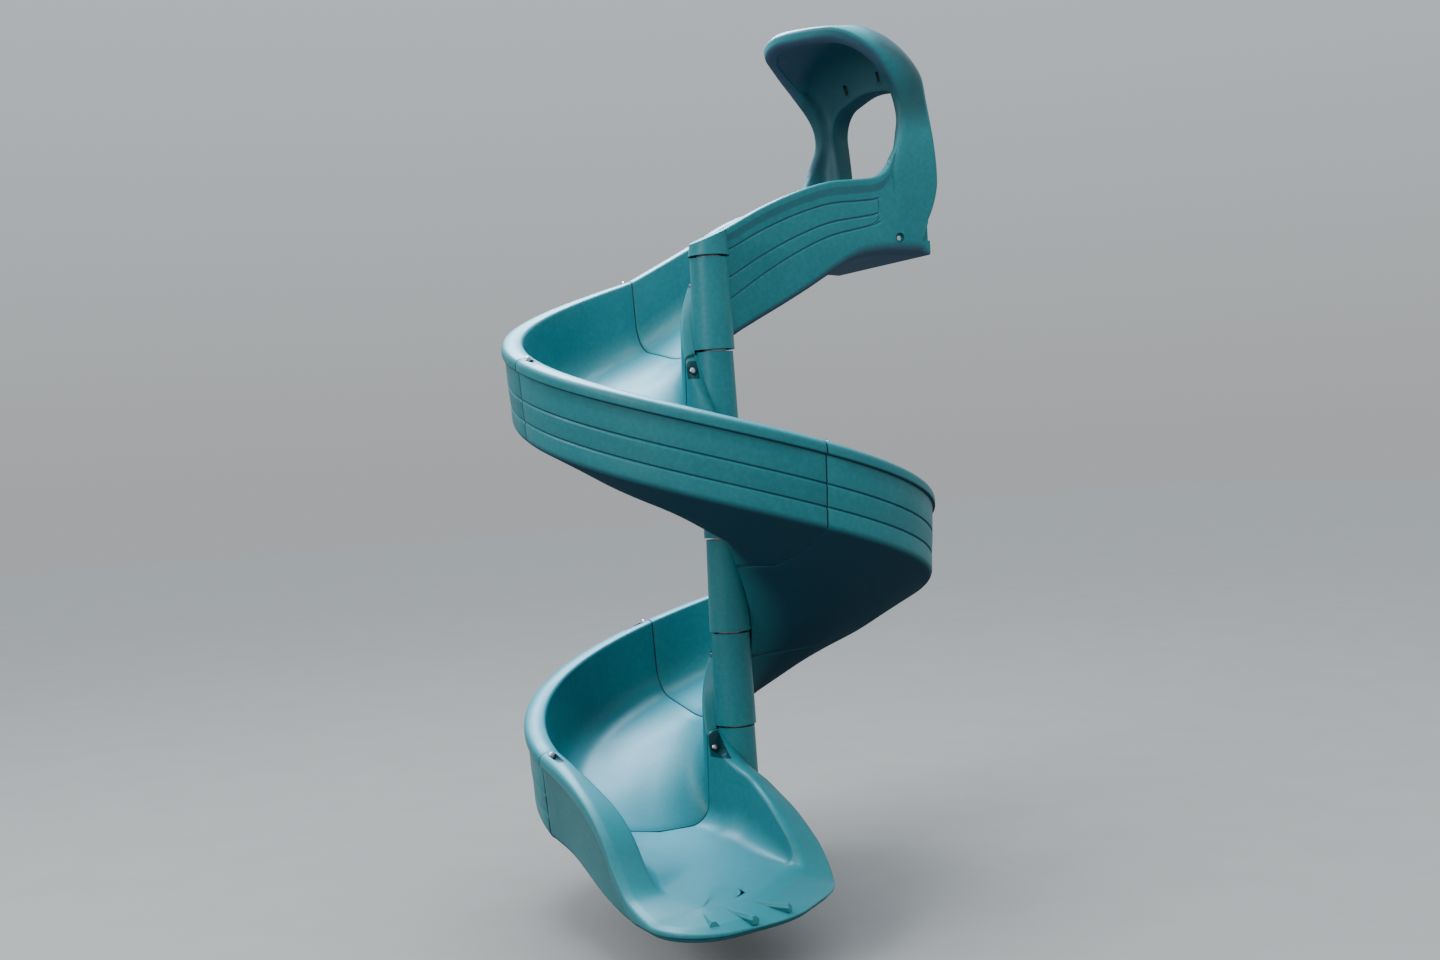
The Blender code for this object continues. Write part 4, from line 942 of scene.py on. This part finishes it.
def exit_ribs():
    """Wedges that leave the floor flush with it and end in a step over the lip."""
    foot = (CHUTE_DEPTH + EXIT_FLOOR_DROP - BELLY_DEPTH) / 2
    ribs = []
    for x, back, turn, length in RIBS:
        rings = []
        for run, top, width in ((0, -0.004, 0.5 * RIB_WIDTH), (length, -0.008, RIB_WIDTH)):
            end = run + (0.006 if run else 0)
            rings.append([(-width / 2, -end, foot), (width / 2, -end, foot), (0.6 * width, -end, top - 0.010),
                          (0.25 * width, -run, top), (-0.25 * width, -run, top), (-0.6 * width, -end, top - 0.010)])
        rib = loft(rings)
        spot = Matrix.Translation((x, back - EXIT_LENGTH, -CHUTE_DEPTH - EXIT_FLOOR_DROP))
        rib.matrix_world = spot @ Matrix.Rotation(turn, 4, "Z")
        ribs.append(rib)
    return ribs


def add_exit(plastic):
    """Exit chute: a half cross-section swept round the edge, from the joint back to the joint."""
    stations = resample(exit_outline(), EXIT_STATIONS + 1)
    step = [0, -EDGE_BREAK]
    stations = np.vstack([stations[0], stations[0] + step, stations[1:-1], stations[-1] + step, stations[-1]])
    last = len(stations) - 1
    spine_start = np.array([-INNER_WALL - FLOOR_MIDDLE * CHUTE_WIDTH, -JOINT_GAP / 2])
    spine_end = np.array([-CHUTE_MIDDLE, 0.275 - EXIT_LENGTH])
    bm = bmesh.new()
    spine = {}
    rows = []
    for i, (point, outward) in enumerate(zip(stations, sideways(stations))):
        section = exit_section_points(-point[1], i / last)
        side = min(i, last - i)
        if side not in spine:
            place = mix(spine_start, spine_end, side / (last // 2)) if side > 1 else (spine_start[0], point[1])
            spine[side] = [bm.verts.new((*place, section[k][1])) for k in (0, -1)]
        wall = [bm.verts.new((*(point - outward * distance), height)) for distance, height in section[1:-1]]
        rows.append([spine[side][0], *wall, spine[side][1]])
    bridge(bm, rows, len(rows[0]) - 1)
    bm.faces.new(rows[0] + rows[-1][-2:0:-1])
    section = add_object("exit_fine", bm, plastic)
    cut(section, cylinder(ROOT_RADIUS, -1.0, 0.1))
    join(section, *exit_ribs())
    cut(section, hub_room())
    join(section, hub_sleeve())
    cut(section, *joint_cutters(joint_frame(math.pi, 0), 1))
    shade(section)
    section.location = (0, 0, EXIT_SEAM_HEIGHT)
    stand_for(section, "moulded_plastic", "exit_section")


def add_pole(steel):
    """Steel tube with its base plate and the collar that carries the hubs."""
    collar_top = EXIT_SEAM_HEIGHT + HUB_BOTTOM - JOINT_GAP
    collar_low = collar_top - COLLAR_THICKNESS
    top = TOP_SEAM_HEIGHT + 0.030
    inside = POLE_RADIUS - POLE_WALL
    floor = BASE_PLATE_THICKNESS / 2
    profile = [
        (0, floor / 2), (POLE_RADIUS, floor / 2),
        (POLE_RADIUS, collar_low), (HUB_TOP_RADIUS, collar_low),
        (HUB_TOP_RADIUS, collar_top), (POLE_RADIUS, collar_top),
        (POLE_RADIUS, top), (inside, top), (inside, BASE_PLATE_THICKNESS), (0, BASE_PLATE_THICKNESS),
    ]
    pole = turned(profile, name="pole_fine", material=steel)
    half = BASE_PLATE_SIDE / 2
    outline = rounded_box(half, half, BASE_PLATE_CORNER, 3)
    join(pole, prism(outline, 2, (0, BASE_PLATE_THICKNESS)))
    spread = ANCHOR_HOLE_SPACING / 2
    holes = [cylinder(ANCHOR_HOLE_DIAMETER / 2, -0.05, 0.05, 12) for _ in QUARTERS]
    for hole, (x, y) in zip(holes, QUARTERS):
        hole.matrix_world = Matrix.Translation((x * spread, y * spread, 0))
    cut(pole, *holes)
    shade(pole)
    stand_for(pole, "galvanised_steel", "center_pole")


def stand_for(piece, slot, *nodes):
    """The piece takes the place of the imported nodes."""
    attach(piece, "root")
    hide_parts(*nodes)


# Materials


class Nodes:
    """Short way to add shader nodes to a material or world and join their sockets."""

    def __init__(self, block):
        self.block = block
        block.use_nodes = True
        self.tree = block.node_tree

    def add(self, kind, *sources, **values):
        node = self.tree.nodes.new("ShaderNode" + kind)
        for source, socket in zip(sources, node.inputs):
            self.put(source, socket)
        for key, value in values.items():
            if hasattr(node, key):
                setattr(node, key, value)
            else:
                self.put(value, node.inputs[key.replace("_", " ")])
        return node

    def put(self, source, socket):
        """Join a source to a socket, or set the socket to a constant."""
        if isinstance(source, bpy.types.NodeSocket):
            self.tree.links.new(source, socket)
        else:
            socket.default_value = source

    def place(self):
        return self.add("TexCoord").outputs["Object"]

    def normal(self):
        return self.add("NewGeometry").outputs["Normal"]

    def noise(self, scale, detail=3.0):
        return self.add("TexNoise", self.place(), Scale=scale, Detail=detail, Roughness=0.55).outputs["Fac"]

    def ramp(self, source, *stops):
        node = self.add("ValToRGB", source)
        elements = node.color_ramp.elements
        while len(elements) < len(stops):
            elements.new(0.5)
        for element, (position, value) in zip(elements, stops):
            element.position = position
            element.color = (*value, 1) if isinstance(value, tuple) else (value, value, value, 1)
        return node.outputs["Color"]

    def blend(self, share, first, second, kind="MIX"):
        node = self.add("Mix", data_type="RGBA", blend_type=kind)
        for i, value in zip((0, 6, 7), (share, first, second)):
            self.put((*value, 1) if isinstance(value, tuple) else value, node.inputs[i])
        return node.outputs[2]

    def math(self, operation, *values):
        return self.add("Math", *values, operation=operation).outputs[0]

    def product(self, first, *others):
        for other in others:
            first = self.math("MULTIPLY", first, other)
        return first

    def away(self, source, centre=0.0):
        """Distance of a coordinate from a constant."""
        return self.math("ABSOLUTE", self.math("SUBTRACT", source, centre))

    def split(self, source):
        return self.add("SeparateXYZ", source).outputs

    def bump(self, source, strength, distance, **under):
        return self.add("Bump", Height=source, Strength=strength, Distance=distance, **under).outputs["Normal"]

    def finish(self, kind, **inputs):
        """Set the inputs of the closing node, and give back the material or world."""
        for name, source in inputs.items():
            self.put(source, self.tree.nodes[kind].inputs[name.replace("_", " ")])
        return self.block


def seam_shade(n):
    """Share of painted shade in the joint gaps along the two end planes of a moulding, away from the pole."""
    widths = [n.away(part) for part in n.split(n.place())[:2]]
    near = n.ramp(n.product(n.math("MINIMUM", *widths), 100.0), (0.20, 0.8), (0.36, 0.0))
    return n.product(near, n.math("GREATER_THAN", n.math("MAXIMUM", *widths), 0.08))


def pocket_shade(n, turn):
    """Share of painted shade in the rim's and hub's bolt pockets below a joint that is turned round the pole."""
    x, y, z = n.split(n.add("VectorRotate", rotation_type="Z_AXIS", Vector=n.place(), Angle=-turn).outputs[0])
    along = n.math("LESS_THAN", n.away(y, 0.058), 0.050)
    pockets = ((RIM_BOLT_RADIUS, POCKET_RADIUS, -0.060), (HUB_BOLT_RADIUS, HUB_POCKET_RADIUS, -0.100))
    shares = [n.product(n.math("LESS_THAN", n.away(x, radius), width + 0.0006), n.math("GREATER_THAN", z, low))
              for radius, width, low in pockets]
    return n.product(n.math("MAXIMUM", *shares), along, 0.85)


def hood_shade(n):
    """Share of painted shade on the inside of the hood."""
    x, y, z = n.split(n.place())
    within = n.ramp(n.product(n.away(y, CHUTE_MIDDLE), 2.0), (0.66, 0.75), (0.70, 0.0))
    forward = n.ramp(x, (0.0, 0.0), (0.80, 0.0), (0.86, 1.0))
    return n.product(within, forward, n.math("LESS_THAN", x, HEADER_REAR - 0.006), n.ramp(z, (0.34, 0.0), (0.44, 1.0)))


def slot_shade(n):
    """Share of painted shade in the two slots of the header."""
    x, y, z = n.split(n.place())
    width, height = (size / 2 for size in HEADER_SLOT)
    aside = n.math("SUBTRACT", n.away(y, CHUTE_MIDDLE), HEADER_SLOT_SPREAD)
    rise = n.math("SUBTRACT", n.away(z, HEADER_SLOT_RISE), height - width)
    rise = n.math("MAXIMUM", rise, 0.0)
    away = n.math("ADD", n.product(aside, aside), n.product(rise, rise))
    inside = n.math("LESS_THAN", away, (width + 0.0006) ** 2)
    return n.product(inside, n.math("LESS_THAN", n.away(x, 0.94), 0.08), 0.9)


def soft_corners(n):
    """Normals that run smoothly from the hood's arch into its header and legs."""
    x, _, z = n.split(n.place())
    back = n.ramp(x, (0.80, 0.0), (0.84, 1.0), (0.970, 1.0), (0.985, 0.0))
    mixed = n.add("Mix", data_type="VECTOR")
    bevel = n.add("Bevel", samples=8, Radius=0.055).outputs[0]
    for i, source in zip((0, 4, 5), (n.product(back, n.ramp(z, (0.17, 0.0), (0.25, 1.0))), n.normal(), bevel)):
        n.put(source, mixed.inputs[i])
    return mixed.outputs[1]


def plastic_material(name, hood=False, turn=0.0):
    """Teal moulding with painted light and shade: paler faces that look up, darker faces that look down, creases,
    seams, pockets and slots; fine orange peel, soft gloss.
    """
    n = Nodes(bpy.data.materials.new(name))
    base = n.ramp(n.noise(2.2, 4.0), (0.30, (0.013, 0.146, 0.168)), (0.70, (0.017, 0.174, 0.196)))
    base = n.blend(0.10, base, n.ramp(n.noise(60.0), (0.40, 0.0), (0.75, 1.0)), "SOFT_LIGHT")
    # 0 on a face that looks down, 1 on a face that looks up
    up = n.math("MULTIPLY_ADD", n.split(n.normal())["Z"], 0.5, 0.5)
    shaded = n.ramp(up, (0.14, 0.95), (0.48, 0.0))
    # painted top light: faces that look up are painted paler
    base = n.blend(n.ramp(up, (0.68, 0.0), (0.98, 0.6)), base, (0.020, 0.230, 0.280))
    # painted shade: faces that look down are painted dark, somewhat lighter inside the hood
    base = n.blend(shaded, base, (0.050, 0.070, 0.105) if hood else (0.014, 0.034, 0.052))
    upright = n.ramp(up, (0.30, 0.0), (0.38, 1.0), (0.62, 1.0), (0.70, 0.0))
    if hood:
        # painted shade on the inside of the hood
        base = n.blend(hood_shade(n), base, (0.012, 0.050, 0.062))
        # painted shade in the header's two slots
        base = n.blend(slot_shade(n), base, (0.001, 0.010, 0.014))
        # the painted crease shade is kept off the hood's header and rear
        upright = n.product(upright, n.math("LESS_THAN", n.split(n.place())["X"], 0.90))
    else:
        # painted shade in the bolt pockets
        base = n.blend(pocket_shade(n, turn), base, (0.002, 0.022, 0.030))
    # painted shade in the joint gaps along the seams
    seam = n.product(seam_shade(n), n.ramp(up, (0.28, 0.0), (0.36, 1.0)))
    base = n.blend(seam, base, (0.001, 0.014, 0.018))
    # painted shade in concave creases and grooves of upright faces
    hollow = n.ramp(n.add("NewGeometry").outputs["Pointiness"], (0.42, 0.85), (0.488, 0.0))
    base = n.blend(n.product(hollow, upright), base, (0.001, 0.022, 0.028))
    rough = n.ramp(n.noise(7.0, 4.0), (0.25, 0.36), (0.75, 0.46))
    under = {"Normal": soft_corners(n)} if hood else {}
    peel = n.bump(n.noise(420.0, 2.0), 0.10, 0.0006, **under)
    return n.finish("Principled BSDF", Base_Color=base, Roughness=n.blend(shaded, rough, (0.9, 0.9, 0.9)),
                    Specular_IOR_Level=n.ramp(up, (0.15, 0.03), (0.50, 0.28)),
                    Normal=n.bump(n.noise(9.0, 2.0), 0.20, 0.0025, Normal=peel))


def metal_material(name, dark, light, low, high, scale):
    """Zinc spangle or plated metal with patches of changing brightness."""
    n = Nodes(bpy.data.materials.new(name))
    cells = n.add("TexVoronoi", n.place(), Scale=scale).outputs["Color"]
    return n.finish("Principled BSDF", Base_Color=n.ramp(cells, (0.2, dark), (0.8, light)), Metallic=1.0,
                    Roughness=n.ramp(n.noise(scale / 2, 4.0), (0.3, low), (0.7, high)),
                    Normal=n.bump(n.noise(scale * 4), 0.10, 0.0005))


# Making


steel = metal_material("galvanised_steel_fine", (0.42, 0.45, 0.46), (0.60, 0.63, 0.64), 0.38, 0.55, 60.0)
zinc = metal_material("zinc_bolt_fine", (0.62, 0.64, 0.66), (0.80, 0.82, 0.84), 0.25, 0.40, 300.0)
brass = metal_material("brass_insert_fine", (0.50, 0.36, 0.14), (0.64, 0.48, 0.20), 0.30, 0.45, 200.0)

add_pole(steel)
add_entry(plastic_material("entry_plastic_fine", hood=True))
add_spiral(plastic_material("moulded_plastic_fine"))
add_exit(plastic_material("exit_plastic_fine", turn=math.pi))

for joint in range(SPIRAL_SECTIONS + 1):
    place = joint_frame(math.pi / 2 * (joint + 1), TOP_SEAM_HEIGHT - joint * SECTION_DROP)
    for name, radius, seat, depth, side in JOINT_BOLTS:
        length = seat + JOINT_GAP / 2 + INSERT_LENGTH - INSERT_FLOOR - 0.002
        add_bolt((name + "_bolt", f"_{joint + 1}"), length, place @ along_joint(radius, seat, depth, side))
        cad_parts[f"{name}_insert_{joint + 1}"].data.materials[0] = brass
for name, seat in zip(("near_deck_bolt", "far_deck_bolt"), deck_bolt_seats()):
    add_bolt((name, ""), DECK_BOLT_LENGTH, Matrix.Translation((0, 0, TOP_SEAM_HEIGHT)) @ seat)

# Floor, light and camera

n = Nodes(bpy.data.materials.new("pale_floor"))
tone = n.ramp(n.noise(3.0, 5.0), (0.3, (0.56, 0.56, 0.555)), (0.7, (0.59, 0.59, 0.585)))
pale = n.finish("Principled BSDF", Base_Color=tone, Roughness=0.9)
bm = bmesh.new()
bmesh.ops.create_grid(bm, x_segments=8, y_segments=8, size=30)
add_object("floor", bm, pale, bpy.context.scene.collection)

# each light's name, place, aimed height, size, power and colour, and whether it lights the slide alone
LIGHTS = (
    ("overhead", (-0.5, 1.0, 8.5), 1.2, 4.5, 250, (0.94, 0.98, 1.0), False),
    ("behind", (0.7, 5.0, 8.6), 1.5, 5.4, 3300, (0.52, 0.78, 1.0), True),
    ("front", (-0.3, -6.6, 8.0), 1.6, 4.0, 330, (0.96, 0.99, 1.0), True),
    ("left", (-5.6, 2.2, 8.2), 1.8, 3.0, 260, (0.80, 0.93, 1.0), True),
    ("front_left", (-7.5, -2.2, 4.6), 1.6, 3.0, 230, (1, 1, 1), False),
)
for name, place, height, size, power, colour, alone in LIGHTS:
    light = bpy.data.lights.new(name, "AREA")
    light.shape = "DISK"
    light.size = size
    light.energy = power
    light.color = colour
    lamp = bpy.data.objects.new(name, light)
    lamp.location = place
    lamp.rotation_euler = (Vector((0, 0, height)) - Vector(place)).to_track_quat("-Z", "Y").to_euler()
    lamp.visible_glossy = name != "front"
    if alone:
        lamp.light_linking.receiver_collection = slide
    bpy.context.scene.collection.objects.link(lamp)

n = Nodes(bpy.data.worlds.new("studio"))
height = n.split(n.add("TexCoord").outputs["Generated"])["Z"]
sky = n.ramp(height, (0.0, (0.50, 0.52, 0.54)), (0.6, (0.85, 0.94, 1.0)))
bpy.context.scene.world = n.finish("Background", Color=sky, Strength=0.85)

camera = bpy.data.objects.new("camera", bpy.data.cameras.new("camera"))
camera.data.sensor_width = 36
camera.data.lens = 41.483
camera.location = (-2.73510697, -5.3765934, 1.62176)
camera.rotation_euler = (1.553285, 0.05807697, -0.47067118)
bpy.context.scene.collection.objects.link(camera)
bpy.context.scene.camera = camera
